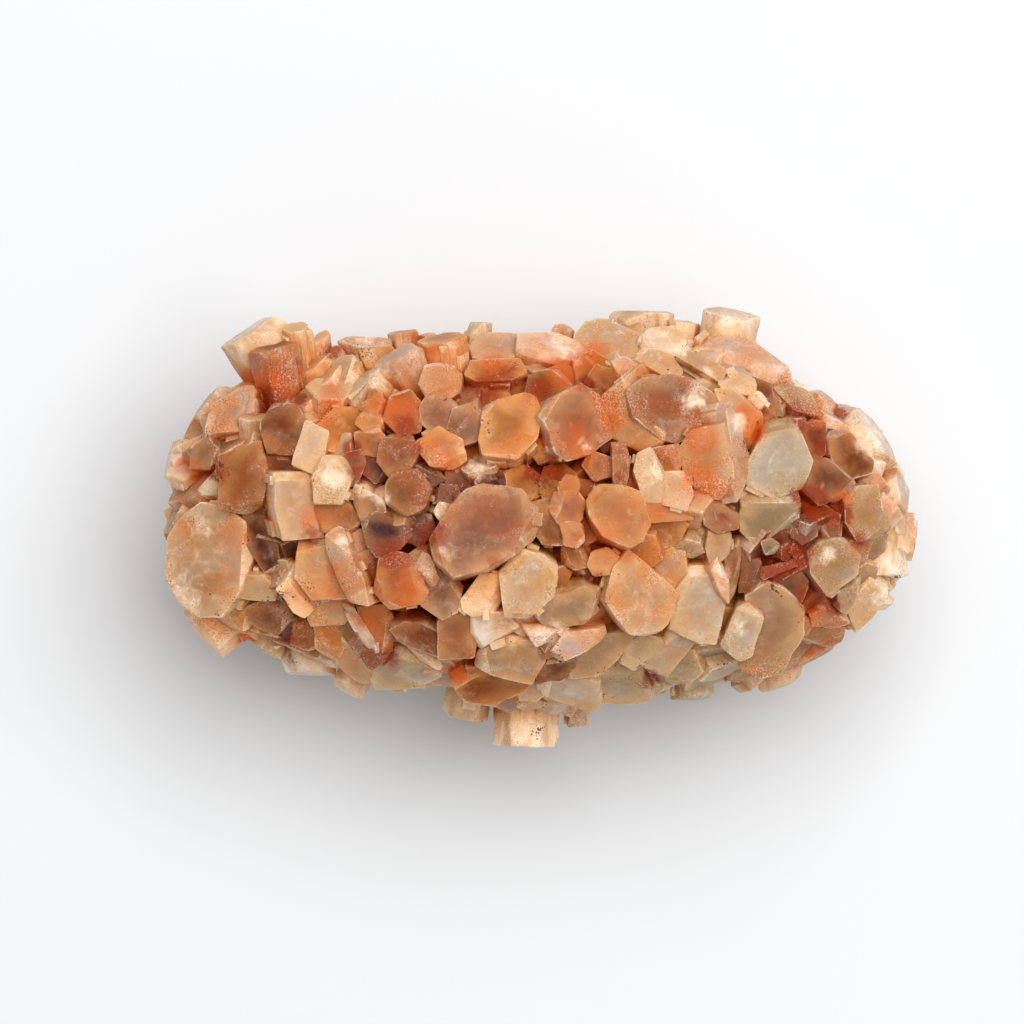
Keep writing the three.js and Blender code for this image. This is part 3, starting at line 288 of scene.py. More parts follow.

# ---- colours, sRGB: heart of the end face, rind around it and down the walls, deep stain; the darker heart is partly painted shade, the paler rind partly painted glow, the stain partly painted glow and shade ----

TONES = {
    "rose": ((168, 108, 68), (190, 90, 28), 0.17),
    "mauve": ((164, 108, 70), (162, 78, 28), 0.2),
    "petal": ((200, 164, 134), (201, 110, 43), 0.17),
    "dusk": ((130, 70, 38), (143, 65, 21), 0.18),
    "shadow": ((84, 32, 8), (108, 45, 14), 0.17),
    "brown": ((156, 86, 36), (155, 71, 20), 0.17),
    "russet": ((108, 44, 14), (128, 44, 8), 0.14),
    "rust": ((150, 76, 20), (172, 71, 15), 0.14),
    "salmon": ((174, 98, 52), (192, 90, 28), 0.16),
    "orange": ((190, 120, 62), (203, 97, 29), 0.12),
    "amber": ((252, 200, 150), (225, 127, 43), 0.05),
    "peach": ((200, 156, 114), (207, 118, 45), 0.08),
    "blush": ((198, 164, 146), (201, 118, 54), 0.05),
    "white": ((226, 200, 176), (190, 133, 76), 0.04),
    "cream": ((202, 168, 136), (195, 141, 74), 0.05),
    "beige": ((170, 132, 98), (162, 109, 53), 0.06),
    "umber": ((122, 88, 62), (120, 66, 26), 0.1),
    "sage": ((188, 160, 128), (159, 122, 63), 0.06),
    "olive": ((150, 120, 84), (129, 92, 40), 0.08),
}
# the pale colour that the rind leans towards, partly a painted glow of light let in at the edges
RIND_AND_GLOW_COLOUR = (254, 204, 148)
RIND_AND_GLOW_SHARE = 0.42
GLOSS = 0.01  # linear light that the gloss adds all over
GAIN = 0.87

# The same on every crystal, sRGB
MILK = (255, 238, 216)
OCHRE_STAIN = (196, 88, 24)
IRON_STAIN = (136, 42, 4)
FROSTED = (240, 214, 184)
# pale dust, which also stands in for small painted glints
PALE_DUST_AND_GLINT = (255, 236, 214)
RUSTY_DUST = (120, 48, 16)
SPECK = (96, 36, 14)
DIRT = (104, 52, 26)
FLOOR = (223, 225, 227)

FARTHEST = 37.4  # mm from the middle, lengthwise
FLANK_ALIKE = 0.7  # part of the flank crystals coloured like the nearest one
FLANK_TONES = ("peach", "rose", "orange", "cream", "mauve", "beige", "petal", "brown")


# ---- shape of the block ----

def plan_at(x):
    """Middle and half width of the block in plan."""
    front = np.interp(x, PLAN[:, 0], PLAN[:, 1])
    back = np.interp(x, PLAN[:, 0], PLAN[:, 2])
    return (front + back) / 2, (back - front) / 2


def rise_at(x):
    return HALF_HEIGHT * math.sqrt(max(1 - abs(x / HALF_LENGTH) ** LONG_POWER, THINNEST))


def shell_height(x, y):
    middle, half = plan_at(x)
    left = 1 - abs((y - middle) / half) ** CROSS_POWER
    return MIDDLE + rise_at(x) * math.sqrt(max(left, THINNEST))


def block_point(along, around, inset):
    """A point of the block: part of the half length, angle about the long axis, mm inwards."""
    x = along * (HALF_LENGTH - inset)
    middle, half = plan_at(x)
    return Vector((x, middle + (half - inset) * math.cos(around),
                   MIDDLE + (rise_at(x) - inset) * math.sin(around)))


def block_normal(point):
    middle, half = plan_at(point.x)
    lengthwise = abs(point.x / HALF_LENGTH) ** (LONG_POWER - 1) * LONG_POWER
    return Vector((math.copysign(lengthwise, point.x) / HALF_LENGTH,
                   2 * (point.y - middle) / half ** 2,
                   2 * (point.z - MIDDLE) / HALF_HEIGHT ** 2)).normalized()


def seeded(seed):
    """The small generator of the part's source, so that both give the same crystals."""
    state = seed

    def draw():
        nonlocal state
        state = (state + 0x6D2B79F5) & 0xFFFFFFFF
        t = state
        t = ((t ^ (t >> 15)) * (t | 1)) & 0xFFFFFFFF
        t ^= (t + (((t ^ (t >> 7)) * (t | 61)) & 0xFFFFFFFF)) & 0xFFFFFFFF
        return ((t ^ (t >> 14)) & 0xFFFFFFFF) / 4294967296

    return draw


# ---- the crystals ----

CAP_SPREAD = 0.35  # mm that a crystal reaches into its neighbours
INSIDE = 0.05  # mm below its end face that counts as inside a crystal


def sides(outline):
    """The corners of an outline in pairs."""
    return zip(outline, outline[1:] + outline[:1])


@dataclass
class Crystal:
    """A prism along axis. Its end face is the outline, in the plane of side and up."""
    tone: str
    end: Vector
    side: Vector
    up: Vector
    axis: Vector
    outline: list
    reach: float
    kind: str = "main"
    level: float = 0  # mm that its end stands over the block
    number: int = 0

    def __post_init__(self):
        self.spread = max(math.hypot(*corner) for corner in self.outline)

    def holds(self, point):
        """Whether a point lies inside."""
        offset = point - self.end
        height = offset.dot(self.axis)
        x, y = offset.dot(self.side), offset.dot(self.up)
        return -self.reach < height < -INSIDE and math.hypot(x, y) <= self.spread and all(
            (b[0] - a[0]) * (y - a[1]) > (b[1] - a[1]) * (x - a[0])
            for a, b in sides(self.outline))

    def place(self):
        """Turns and moves its own axes into the cluster's."""
        turn = Matrix((self.side, self.up, self.axis)).transposed().to_4x4()
        return Matrix.Translation(self.end) @ turn


def anticlockwise(outline):
    area = sum(a[0] * b[1] - b[0] * a[1] for a, b in sides(outline))
    return outline if area > 0 else outline[::-1]


def rows(text):
    """The lines of a list that aren't headings."""
    return [line for line in text.strip().splitlines() if not line.startswith("#")]


def cap_crystals(text):
    """Crystals whose end face is seen in plan."""
    for line in rows(text):
        facts, plan = line.split("|")
        tone, *numbers = facts.split()
        lean_x, lean_y, lift = map(float, numbers)
        corners = [tuple(map(float, pair.split(","))) for pair in plan.split()]
        x = sum(corner[0] for corner in corners) / len(corners)
        y = sum(corner[1] for corner in corners) / len(corners)
        end = Vector((x, y, shell_height(x, y) + lift))
        axis = Vector((lean_x, lean_y, math.sqrt(1 - lean_x ** 2 - lean_y ** 2)))
        side = Vector((0, 1, 0)).cross(axis).normalized()
        up = axis.cross(side)
        outline = []
        for corner in corners:
            across, back = corner[0] - x, corner[1] - y
            offset = Vector((across, back, -(lean_x * across + lean_y * back) / axis.z))
            flat = Vector((offset.dot(side), offset.dot(up)))
            outline.append(tuple(flat + CAP_SPREAD * flat.normalized()))
        yield Crystal(tone, end, side, up, axis, anticlockwise(outline), CAP_REACH, level=lift)


def six_sides(width, thickness, draw):
    across_flats = math.cos(math.pi / 6)
    outline = []
    for i in range(6):
        angle = (i + TURN_UNEVEN * (draw() - 0.5)) * math.pi / 3
        stretch = 1 + SIZE_UNEVEN * (draw() - 0.5)
        outline.append((0.5 * width * stretch * math.cos(angle),
                        0.5 * thickness * stretch * math.sin(angle) / across_flats))
    return outline


def arm_crystal(tone, end, bearing, rise, width, thickness, draw, reach=ARM_REACH, kind="main"):
    """A crystal given by its end, direction and size; bearing and rise in radians."""
    axis = Vector((math.cos(rise) * math.cos(bearing), math.cos(rise) * math.sin(bearing),
                   math.sin(rise)))
    side = Vector((-math.sin(bearing), math.cos(bearing), 0))
    outline = six_sides(width, thickness, draw)
    return Crystal(tone, Vector(end), side, axis.cross(side), axis, outline, reach, kind)


def pointing(tone, end, axis, *rest):
    """A crystal given by its end, its axis and the rest as above."""
    return arm_crystal(tone, end, math.atan2(axis.y, axis.x), math.asin(axis.z), *rest)


def arm_crystals(text, draw):
    """Crystals seen from the side."""
    for line in rows(text):
        tone, *numbers = line.split()
        x, y, z, bearing, rise, width, thickness = map(float, numbers)
        yield arm_crystal(tone, (x, y, z), math.radians(bearing), math.radians(rise), width,
                          thickness, draw)


def feet_crystals(draw):
    for x, y, width in FEET:
        rise = math.radians(-90 + FEET_SPLAY * math.hypot(x, y))
        yield arm_crystal("cream", (x, y, -FEET_PROUD), math.atan2(y, x), rise, width,
                          FEET_SLIMNESS * width, draw)


def spread(tries, length, start=0, sweep=2 * math.pi):
    """Places evenly round the block: part of its half length, and angle about it."""
    for i in range(tries):
        yield length * (2 * (i + 0.5) / tries - 1), start + sweep * ((i * GOLDEN) % 1)


def askew(direction, tilt, draw):
    return (direction + tilt * Vector([draw() - 0.5 for _ in range(3)])).normalized()


def nearest(crystals, point):
    return min(crystals, key=lambda crystal: (crystal.end - point).length)


def flank_crystals(listed, draw, chance):
    """Crystals spread over the sides and the underside, where the lists leave room."""
    placed = []
    climb = math.radians(FLANK_TOP)
    for along, around in spread(FLANK_TRIES, FLANK_LENGTH, climb, -(math.pi + 2 * climb)):
        end = block_point(along, around, FLANK_INSET)
        axis = askew(block_normal(end), FLANK_TILT, draw)
        end -= FLANK_SETBACK * draw() * axis
        width, slimness = (low + (high - low) * draw()
                           for low, high in (FLANK_WIDTHS, FLANK_SLIMNESS))
        if any((other - end).length < FLANK_SPACING for other in placed) or any(
                (other.end - end).length < FLANK_CLEARANCE for other in listed):
            continue
        tone = nearest(listed, end).tone
        if chance.random() > FLANK_ALIKE:
            tone = chance.choice(FLANK_TONES)
        placed.append(end)
        yield held_in(pointing(tone, end, axis, width, width * slimness, draw))


def held_in(crystal):
    """Draws a crystal in until no corner of its end stands out past the ends of the block."""
    farthest = max(abs((crystal.end + x * crystal.side + y * crystal.up).x)
                   for x, y in crystal.outline)
    crystal.end -= (max(farthest - FARTHEST, 0) / max(abs(crystal.axis.x), 0.4)) * crystal.axis
    return crystal


# ---- smaller growth: ledges on the walls, sprigs in the clefts ----

LEDGE_SHARE = {"main": 0.5, "filler": 0.2}  # part of the walls wide enough that carry one
LEDGE_LEAST = 1.3  # mm, the narrowest wall that does
LEDGE_OUT = (0.12, 0.42)  # mm that it stands out
LEDGE_ROOT = 0.7  # mm that it reaches in
LEDGE_DROP = (0.25, 3.2)  # mm that it ends below the end face, before it is eased
LEDGE_START = (0.04, 0.5)  # part of the wall where it starts
LEDGE_RUN = (0.25, 0.7)  # part of the wall that it takes up
LEDGE_LOWEST = 0.5  # mm over the resting surface

# Crystals that fill the gaps between the listed ones, a little lower than they are
FILLER_TRIES = 3200
FILLER_LENGTH = 0.985  # part of the block's length
FILLER_WIDTHS = (3.0, 6.2)
FILLER_SPACING = 2.4
FILLER_DEPTH = (0.8, 1.8)
FILLER_REACH = 8
FILLER_TILT = 0.8
FILLER_SLIMNESS = (0.65, 1)
FILLER_LOWEST = 1.5  # mm over the resting surface
NEIGHBOUR = 4.0  # mm, how near a crystal is that a filler stays lower than
BELOW = 0.6  # mm that it stays lower by

SPRIG_TRIES = 500
SPRIG_LENGTH = 0.97
SPRIG_WIDTHS = (1.2, 2.6)
SPRIG_INSET = (1.2, 3.4)  # mm below the block's surface
SPRIG_REACH = 6
SPRIG_TILT = 1.1
SPRIG_SLIMNESS = (0.6, 1)


def buried(point, crystals):
    return any(crystal.holds(point) for crystal in crystals)


def ledge_crystals(parents, chance):
    """Narrow slabs grown onto the walls, each ending lower than its crystal does."""
    for parent in parents:
        for a, b in sides(parent.outline):
            run = Vector((b[0] - a[0], b[1] - a[1]))
            if run.length < LEDGE_LEAST or chance.random() > LEDGE_SHARE[parent.kind]:
                continue
            outward = Vector((run.y, -run.x)).normalized()
            start = chance.uniform(*LEDGE_START)
            stop = min(1 - LEDGE_START[0], start + chance.uniform(*LEDGE_RUN))
            out = chance.uniform(*LEDGE_OUT)
            drop = chance.uniform(*LEDGE_DROP) ** 1.3 * 0.6
            near, far = (Vector(a) + part * run for part in (start, stop))
            ring = [near - LEDGE_ROOT * outward, far - LEDGE_ROOT * outward,
                    far + out * outward - 0.1 * run.normalized(), near + out * outward]
            shown = (near + far) / 2 + out * outward
            top = parent.end - drop * parent.axis + shown.x * parent.side + shown.y * parent.up
            if top.z < LEDGE_LOWEST or buried(top, parents):
                continue
            yield Crystal(parent.tone, parent.end - drop * parent.axis, parent.side, parent.up,
                          parent.axis, anticlockwise([tuple(p) for p in ring]),
                          parent.reach - drop, "ledge")


def filler_crystals(mains, chance):
    """Crystals in the gaps, coloured like the nearest listed one."""
    placed = []
    for along, around in spread(FILLER_TRIES, FILLER_LENGTH):
        depth = chance.uniform(*FILLER_DEPTH)
        end = block_point(along, around, depth)
        if any((other - end).length < FILLER_SPACING for other in placed) \
                or end.z < FILLER_LOWEST or buried(end, mains):
            continue
        near = [crystal for crystal in mains if (crystal.end - end).length < NEIGHBOUR]
        lowest = min((crystal.level for crystal in near), default=0)
        outward = block_normal(end)
        end -= max(0, BELOW - lowest - depth) * outward
        axis = askew(outward, FILLER_TILT, chance.random)
        width = chance.uniform(*FILLER_WIDTHS)
        placed.append(end)
        yield held_in(pointing(
            nearest(mains, end).tone, end, axis, width, width * chance.uniform(*FILLER_SLIMNESS),
            chance.random, FILLER_REACH, "filler"))


def sprig_crystals(mains, chance):
    """Small crystals all round that show only where the larger ones part."""
    for along, around in spread(SPRIG_TRIES, SPRIG_LENGTH):
        end = block_point(along, around, chance.uniform(*SPRIG_INSET))
        if buried(end, mains):
            continue
        axis = askew(block_normal(end), SPRIG_TILT, chance.random)
        width = chance.uniform(*SPRIG_WIDTHS)
        yield pointing(
            nearest(mains, end).tone, end, axis, width, width * chance.uniform(*SPRIG_SLIMNESS),
            chance.random, SPRIG_REACH, "sprig")


# ---- each crystal's own solid ----

RIM_BEVEL = {"main": (0.06, 0.18), "filler": (0.08, 0.2), "ledge": (0.05, 0.12),
             "sprig": (0.05, 0.15)}
WALL_BEVEL = (0.05, 0.2)
CHIP_CHANCES = 5
CHIP_DEPTH = (0.15, 0.75)
CHIP_LEAN = (0.4, 1.1)  # radians that it leans up from the wall
FACET_CHANCES = (0.6, 0.3)  # of a first and a second facet
FACET_LEAST = 1.8  # mm, the narrowest wall that is cut back to one
FACET_INSET = (0.3, 1.3)  # mm that it takes off the end face
FACET_SLOPE = (0.45, 1.0)  # radians that it leans up from the wall
STEP_CHANCE = 0.45
STEP_LEAST = 5  # square mm, the smallest end face that is stepped
STEP_INSET = (0.35, 1.0)
STEP_ROOM = 0.4  # part of the way in that a step may take
STEP_RISE = (-0.16, 0.14)
SHARP_RIM = 0.8  # radians between two faces, past which their edge is softened


def closed(bm):
    return all(edge.is_manifold for edge in bm.edges)


def soften(bm, edges, width):
    bmesh.ops.bevel(bm, geom=edges, offset=width, offset_type="OFFSET", segments=1, profile=0.5,
                    affect="EDGES", material=-1, clamp_overlap=True)


def rough_prism(crystal, chance, detail=True):
    """The crystal in its own axes, end face at the origin, edges softened and chipped."""
    bm = bmesh.new()
    corners = [bm.verts.new((x, y, 0)) for x, y in crystal.outline]
    cap = bm.faces.new(corners)
    drawn = bmesh.ops.extrude_face_region(bm, geom=[cap])
    root = [item for item in drawn["geom"] if isinstance(item, bmesh.types.BMVert)]
    bmesh.ops.translate(bm, verts=root, vec=(0, 0, -crystal.reach))
    bmesh.ops.scale(bm, verts=root, vec=(ROOT_WIDTH, ROOT_WIDTH, 1))
    bmesh.ops.recalc_face_normals(bm, faces=bm.faces[:])
    if not detail:
        return bm
    top = next(face for face in bm.faces if face.normal.z > 0.9)
    if crystal.kind == "main" and chance.random() < STEP_CHANCE and top.calc_area() > STEP_LEAST:
        room = 2 * top.calc_area() / top.calc_perimeter()
        bmesh.ops.inset_region(
            bm, faces=[top], thickness=min(chance.uniform(*STEP_INSET), STEP_ROOM * room),
            depth=chance.uniform(*STEP_RISE), use_even_offset=True)
    if crystal.kind == "main":
        for odds in FACET_CHANCES:
            if chance.random() < odds:
                facet(bm, crystal.outline, chance)
        soften(bm, [edge for edge in bm.edges
                    if abs((edge.verts[0].co - edge.verts[1].co).z) > 1],
               chance.uniform(*WALL_BEVEL))
    soften(bm, [edge for edge in bm.edges
                if edge.is_convex and edge.calc_face_angle(0) > SHARP_RIM
                and min(vert.co.z for vert in edge.verts) > -1],
           chance.uniform(*RIM_BEVEL[crystal.kind]))
    if crystal.kind == "main":
        for _ in range(chance.randrange(CHIP_CHANCES)):
            chip(bm, crystal.outline, chance)
    return bm


def cut_away(bm, point, outward):
    """Takes off what lies beyond a plane, and closes the cut."""
    cut = bmesh.ops.bisect_plane(bm, geom=bm.verts[:] + bm.edges[:] + bm.faces[:], dist=1e-5,
                                 plane_co=point, plane_no=outward, clear_outer=True)
    edges = [item for item in cut["geom_cut"] if isinstance(item, bmesh.types.BMEdge)]
    if edges:
        bmesh.ops.holes_fill(bm, edges=edges, sides=0)


def facet(bm, outline, chance):
    """A sloping face between the end face and one wall."""
    number = chance.randrange(len(outline))
    a, b = (Vector(outline[(number + step) % len(outline)]) for step in (0, 1))
    run = b - a
    inset, slope = chance.uniform(*FACET_INSET), chance.uniform(*FACET_SLOPE)
    if run.length < FACET_LEAST:
        return
    outward = Vector((run.y, -run.x, 0)).normalized()
    normal = outward * math.cos(slope) + Vector((0, 0, math.sin(slope)))
    cut_away(bm, ((a + b) / 2).to_3d() - inset * outward, normal)


def chip(bm, outline, chance):
    """One corner of the end face broken off flat."""
    corner = Vector(chance.choice(outline)).to_3d()
    lean = chance.uniform(*CHIP_LEAN)
    outward = corner.normalized() * math.cos(lean) + Vector((0, 0, math.sin(lean)))
    outward = outward + 0.5 * Vector((chance.random() - 0.5, chance.random() - 0.5, 0))
    outward.normalize()
    cut_away(bm, corner - chance.uniform(*CHIP_DEPTH) * outward, outward)


def crystal_object(crystal, chance):
    bm = rough_prism(crystal, chance)
    if not closed(bm):
        bm.free()
        bm = rough_prism(crystal, chance, detail=False)
    bm.transform(crystal.place())
    bmesh.ops.recalc_face_normals(bm, faces=bm.faces[:])
    if bm.calc_volume(signed=True) < 0:
        bmesh.ops.reverse_faces(bm, faces=bm.faces[:])
    owner = bm.faces.layers.int.new("crystal")
    for face in bm.faces:
        face[owner] = crystal.number
    return object_from(bm, f"crystal_{crystal.number}")


def object_from(bm, name):
    mesh = bpy.data.meshes.new(name)
    bm.to_mesh(mesh)
    bm.free()
    return bpy.data.objects.new(name, mesh)


def core_object():
    """The dense middle that the crystals are rooted in."""
    bm = bmesh.new()
    bmesh.ops.create_icosphere(bm, subdivisions=4, radius=1)
    for vert in bm.verts:
        point = vert.co
        around = math.hypot(point.y, point.z)
        swell = (abs(point.x) ** CORE_POWER + around ** CORE_POWER) ** (-1 / CORE_POWER)
        x, y, z = (value * swell * half for value, half in zip(point, CORE))
        vert.co = (x, y + plan_at(x)[0], z + MIDDLE)
    bm.faces.layers.int.new("crystal")
    return object_from(bm, "core")


# ---- joining and refining ----

LONGEST_EDGE = ((21, 0.95), (8, 1.6), (-1, 2.6))  # from this height up, mm: longest edge, mm
HIDDEN_EDGE = 4.0  # mm, the longest edge where nothing is seen
REFINE_PASSES = 6
SLIVER = 0.04  # mm, a triangle lower than this isn't split
SIGHT_LEAST = 0.16  # how open it is where a face is seen at all
ABOVE = (200, 200, 100)  # mm, a block on the resting surface that holds the whole cluster
BULK_LOW = (-44.0, -28.0, -6.0)  # mm, the corner of the grid
BULK_SIZE = (88, 56, 54)  # mm
BULK_CELL = 0.6  # mm
BULK_BLUR = 2  # cells
OPEN_AHEAD = 1.5  # mm in front of a face that openness is read


def joined(core, crystals):
    """All crystals and the core as one skin, cut flat at the resting surface."""
    scene = bpy.context.scene
    heap = bpy.data.collections.new("heap")
    for piece in crystals:
        heap.objects.link(piece)
    slab = bmesh.new()
    bmesh.ops.create_cube(slab, size=1)
    bmesh.ops.scale(slab, vec=ABOVE, verts=slab.verts)
    bmesh.ops.translate(slab, vec=(0, 0, ABOVE[2] / 2), verts=slab.verts)
    box = object_from(slab, "above")
    scene.collection.objects.link(core)
    scene.collection.objects.link(box)
    scene.collection.children.link(heap)
    union = core.modifiers.new("union", "BOOLEAN")
    union.operation, union.operand_type, union.solver = "UNION", "COLLECTION", "MANIFOLD"
    union.collection = heap
    flat = core.modifiers.new("flat", "BOOLEAN")
    flat.operation, flat.object, flat.solver = "INTERSECT", box, "MANIFOLD"
    graph = bpy.context.evaluated_depsgraph_get()
    skin = bpy.data.meshes.new_from_object(core.evaluated_get(graph))
    for piece in [core, box, *crystals]:
        bpy.data.meshes.remove(piece.data)
    bpy.data.collections.remove(heap)
    return skin


def outer_skin(bm):
    """Keeps the largest connected surface, so that no closed hollow stays inside."""
    left = set(bm.faces)
    largest = []
    while left:
        island = [left.pop()]
        for face in island:
            for edge in face.edges:
                for other in edge.link_faces:
                    if other in left:
                        left.discard(other)
                        island.append(other)
        if len(island) > len(largest):
            largest = island
    keep = set(largest)
    bmesh.ops.delete(bm, geom=[face for face in bm.faces if face not in keep],
                     context="FACES")


class Bulk:
    """How much stone there is round any point, on a grid of cells."""

    def __init__(self, crystals):
        self.low = np.array(BULK_LOW)
        shape = tuple(int(size / BULK_CELL) for size in BULK_SIZE)
        self.full = np.zeros(shape)
        for crystal in crystals:
            self.add(crystal)
        at = self.centres([np.arange(size) for size in shape])
        middle = plan_at(at[0][:, 0, 0])[0]
        inside = (np.abs(at[0] / CORE[0]) ** CORE_POWER
                  + (np.hypot(at[1] - middle[:, None, None], at[2] - MIDDLE) / CORE[1])
                  ** CORE_POWER) < 1
        self.full[inside] = 1
        self.full[at[2] < 0] = 0
        for axis in range(3):
            for _ in range(2):
                total = np.zeros(shape)
                for step in range(-BULK_BLUR, BULK_BLUR + 1):
                    total += np.roll(self.full, step, axis=axis)
                self.full = total / (2 * BULK_BLUR + 1)

    def centres(self, ranges):
        grid = np.meshgrid(*ranges, indexing="ij")
        return [self.low[i] + (grid[i] + 0.5) * BULK_CELL for i in range(3)]

    def add(self, crystal):
        """Marks the cells whose middle is in a crystal."""
        reach = crystal.reach
        middle = np.array(crystal.end - 0.5 * reach * crystal.axis)
        half = crystal.spread + 0.5 * reach * np.abs(np.array(crystal.axis))
        first = np.maximum(((middle - half - self.low) / BULK_CELL).astype(int), 0)
        last = np.minimum(((middle + half - self.low) / BULK_CELL).astype(int) + 1,
                          self.full.shape)
        at = self.centres([np.arange(a, b) for a, b in zip(first, last)])
        offset = [axis - value for axis, value in zip(at, crystal.end)]

        def along(direction):
            return sum(part * value for part, value in zip(offset, direction))

        height, x, y = along(crystal.axis), along(crystal.side), along(crystal.up)
        inside = (height < 0) & (height > -reach)
        for a, b in sides(crystal.outline):
            inside &= (b[0] - a[0]) * (y - a[1]) > (b[1] - a[1]) * (x - a[0])
        block = self.full[first[0]:last[0], first[1]:last[1], first[2]:last[2]]
        block[inside] = 1

    def openness(self, points, normals):
        """0 in a deep cleft, 1 on open ground."""
        cell = (points + OPEN_AHEAD * normals - self.low) / BULK_CELL - 0.5
        cell = np.clip(cell, 0, np.array(self.full.shape) - 1.001)
        whole = cell.astype(int)
        part = cell - whole
        density = np.zeros(len(points))
        for corner in np.ndindex(2, 2, 2):
            weight = np.prod(np.where(corner, part, 1 - part), axis=1)
            density += weight * self.full[tuple((whole + corner).T)]
        return 1 - density


def refine(bm, bulk, coarser):
    """Splits long edges until the skin is fine enough to be roughened."""
    bmesh.ops.triangulate(bm, faces=bm.faces[:])
    bm.normal_update()
    middles = np.array([face.calc_center_median() for face in bm.faces])
    normals = np.array([face.normal for face in bm.faces])
    seen = bm.faces.layers.int.new("seen")
    for face, opening in zip(bm.faces, bulk.openness(middles, normals)):
        face[seen] = int(opening > SIGHT_LEAST)
    for _ in range(REFINE_PASSES):
        long = []
        for edge in bm.edges:
            length = edge.calc_length()
            if length <= LONGEST_EDGE[0][1] * coarser:
                continue
            height = max(vert.co.z for vert in edge.verts)
            limit = next(most for floor, most in LONGEST_EDGE if height > floor)
            if not any(face[seen] for face in edge.link_faces):
                limit = HIDDEN_EDGE
            if length > limit * coarser and 2 * max(
                    face.calc_area() for face in edge.link_faces) > SLIVER * length:
                long.append(edge)
        if not long:
            break
        bmesh.ops.subdivide_edges(bm, edges=long, cuts=1)
        bmesh.ops.triangulate(bm, faces=[face for face in bm.faces if len(face.verts) > 3])


# ---- roughening, and where each corner of the skin stands on its crystal ----

WEAR_REACH = 0.55  # mm from an edge that is worn
WEAR = 0.2  # mm that it is worn down at most
WEAR_SIZE = 0.9  # mm, how far apart the worn places are
SWELL = 0.05  # mm of low relief
SWELL_SIZE = 1.7  # mm
GRAIN_SIZE = 0.6  # mm
FAR = 9.0  # mm, taken for a corner of the skin that is on no crystal
SHARP = math.radians(28)
WARMTH_UNEVEN = 0.03
LIGHT_UNEVEN = 0.06

# Places on the upper side where the stone is deep red, orange, frosted white, and specked
# with ore: x, y, radius in mm, strength.
IRON = """
25.4 -2.6 1.7 1, 27.6 1.8 1.4 1, 29.8 1.1 1.4 1, 31.6 -1.4 1 0.8, 26.6 -7 1.5 1, 29.2 -7.8 1 0.8,
26.8 9.6 1.2 0.5, 27.6 7.5 1.2 0.7, 26.3 3.2 1.4 1, 23.7 -4 1 0.8, 25.4 11.6 1.6 0.7, 30 11.6 0.8 1,
-27 12.8 1.4 0.8, -23.7 12.6 0.8 1, -20.6 17.6 0.9 1, -13.2 9.9 1.5 0.9, -18.6 8 1 0.8, -17.5 5.6 2
0.6, -14.5 -2.5 2.2 0.8, -10.5 -0.6 1.6 0.8, -1 5.4 1.2 0.8, -6 13.4 1.8 0.7, 0 13.8 1.6 0.7, -3.5
15 2 0.6, 1.2 5.8 1.5 0.9, 18 1.1 0.6 1, 10.9 -14.9 0.9 1, -22.6 -0.8 1.2 0.7, -32 5.5 1.2 0.8,
-24.8 -11 1.2 0.7, -14.8 -13 1.5 0.6, 5.6 -5 1 0.6, 22.6 -4.4 1 0.8, -12 7.4 1 0.7, 4.6 14.2 1.2
0.7, -7 -12.8 1.2 0.6
"""
OCHRE = """
-29.2 15 1.2 0.6, -27 14.2 1.7 1, -20.6 13 1.6 0.9, -21.4 10.6 0.9 0.8, -13.6 11.4 2 0.9, -16 12.5
1.5 0.5, -9 6.4 1.6 0.7, -22.6 1 1.5 0.8, -20.4 -6.6 1.5 0.7, -20.4 -4 0.9 0.8, -13 -7 2 0.6, 5.4
17.4 1.4 1, 2.4 15.6 2 1, -4.5 15.6 2.2 0.8, 6.9 12.4 1.1 1, 7.2 10.4 0.9 1, 15.4 8.6 1.1 0.9, 17.6
3.6 0.9 0.9, 20.4 11.2 1.4 1, 21.2 9.4 1.2 1, 16.2 9 1.4 1, 15.6 4.8 2 1, 27.2 11 1.4 0.8, 29.9 2.9
1 0.9, 31.4 -2 1.2 0.7, 27 -8.2 1.4 0.8, 6.2 -1.4 1.6 0.8, 8.4 -3 1 0.7, -8.2 -14.4 1.3 0.8, 21 -14
0.9 0.6, -30.2 -0.8 1.8 0.55, -29.3 -11.3 0.9 1, 4.2 7.4 2 0.7, -24.4 -6.6 1.2 0.5, -34 5.4 1.2 0.8,
3.6 9.8 2 0.4, -35.5 6.4 1.5 0.5, -30.6 -4.8 1.5 0.45, -17 -9 1.4 0.8, 11.6 1.6 1.5 0.6, 2.6 4 1.2
0.5
"""
FROST = """
-35 -6.6 2 0.6, -33.2 -0.6 1.5 0.4, -20.5 5 1.5 1, -17.2 3.7 1 1, -15.4 3 0.8 1, -19.4 -1.2 0.8 0.8,
-26 21 1.3 0.9, 19.6 10.4 1.1 0.9, 15.2 12.8 1.4 0.8, 33 8.8 2.2 0.8, 28.4 -2.6 1 0.7, -2 -10.4 1.6
0.7, 1.4 -10.4 1.4 0.8, 17.9 -4.3 1 1, 19.8 -9.6 1.2 0.7, 36 -3.6 2.2 1, 34.4 -7.4 1.6 0.7, -1 -20.8
2.6 0.5, 11 5.4 1.2 0.6, 14.2 17.8 0.9 1, 16.6 15 1 0.9, -16 14.4 1.8 0.6, 2.4 18 2 0.6, -10.4 1.6
0.8 0.9, -9.2 -2.8 1.3 0.5, -17.4 18.8 1.6 0.7, -7.6 7.2 1.2 0.4, 4.6 8.2 1 0.6, 35.6 3.6 1.6 0.6,
-11 -4.4 0.8 0.7, -17.4 -10.6 1 0.6, -5.8 5.8 1.3 0.7, 12 18.6 1.6 0.5, 19 20.6 2 0.5
"""
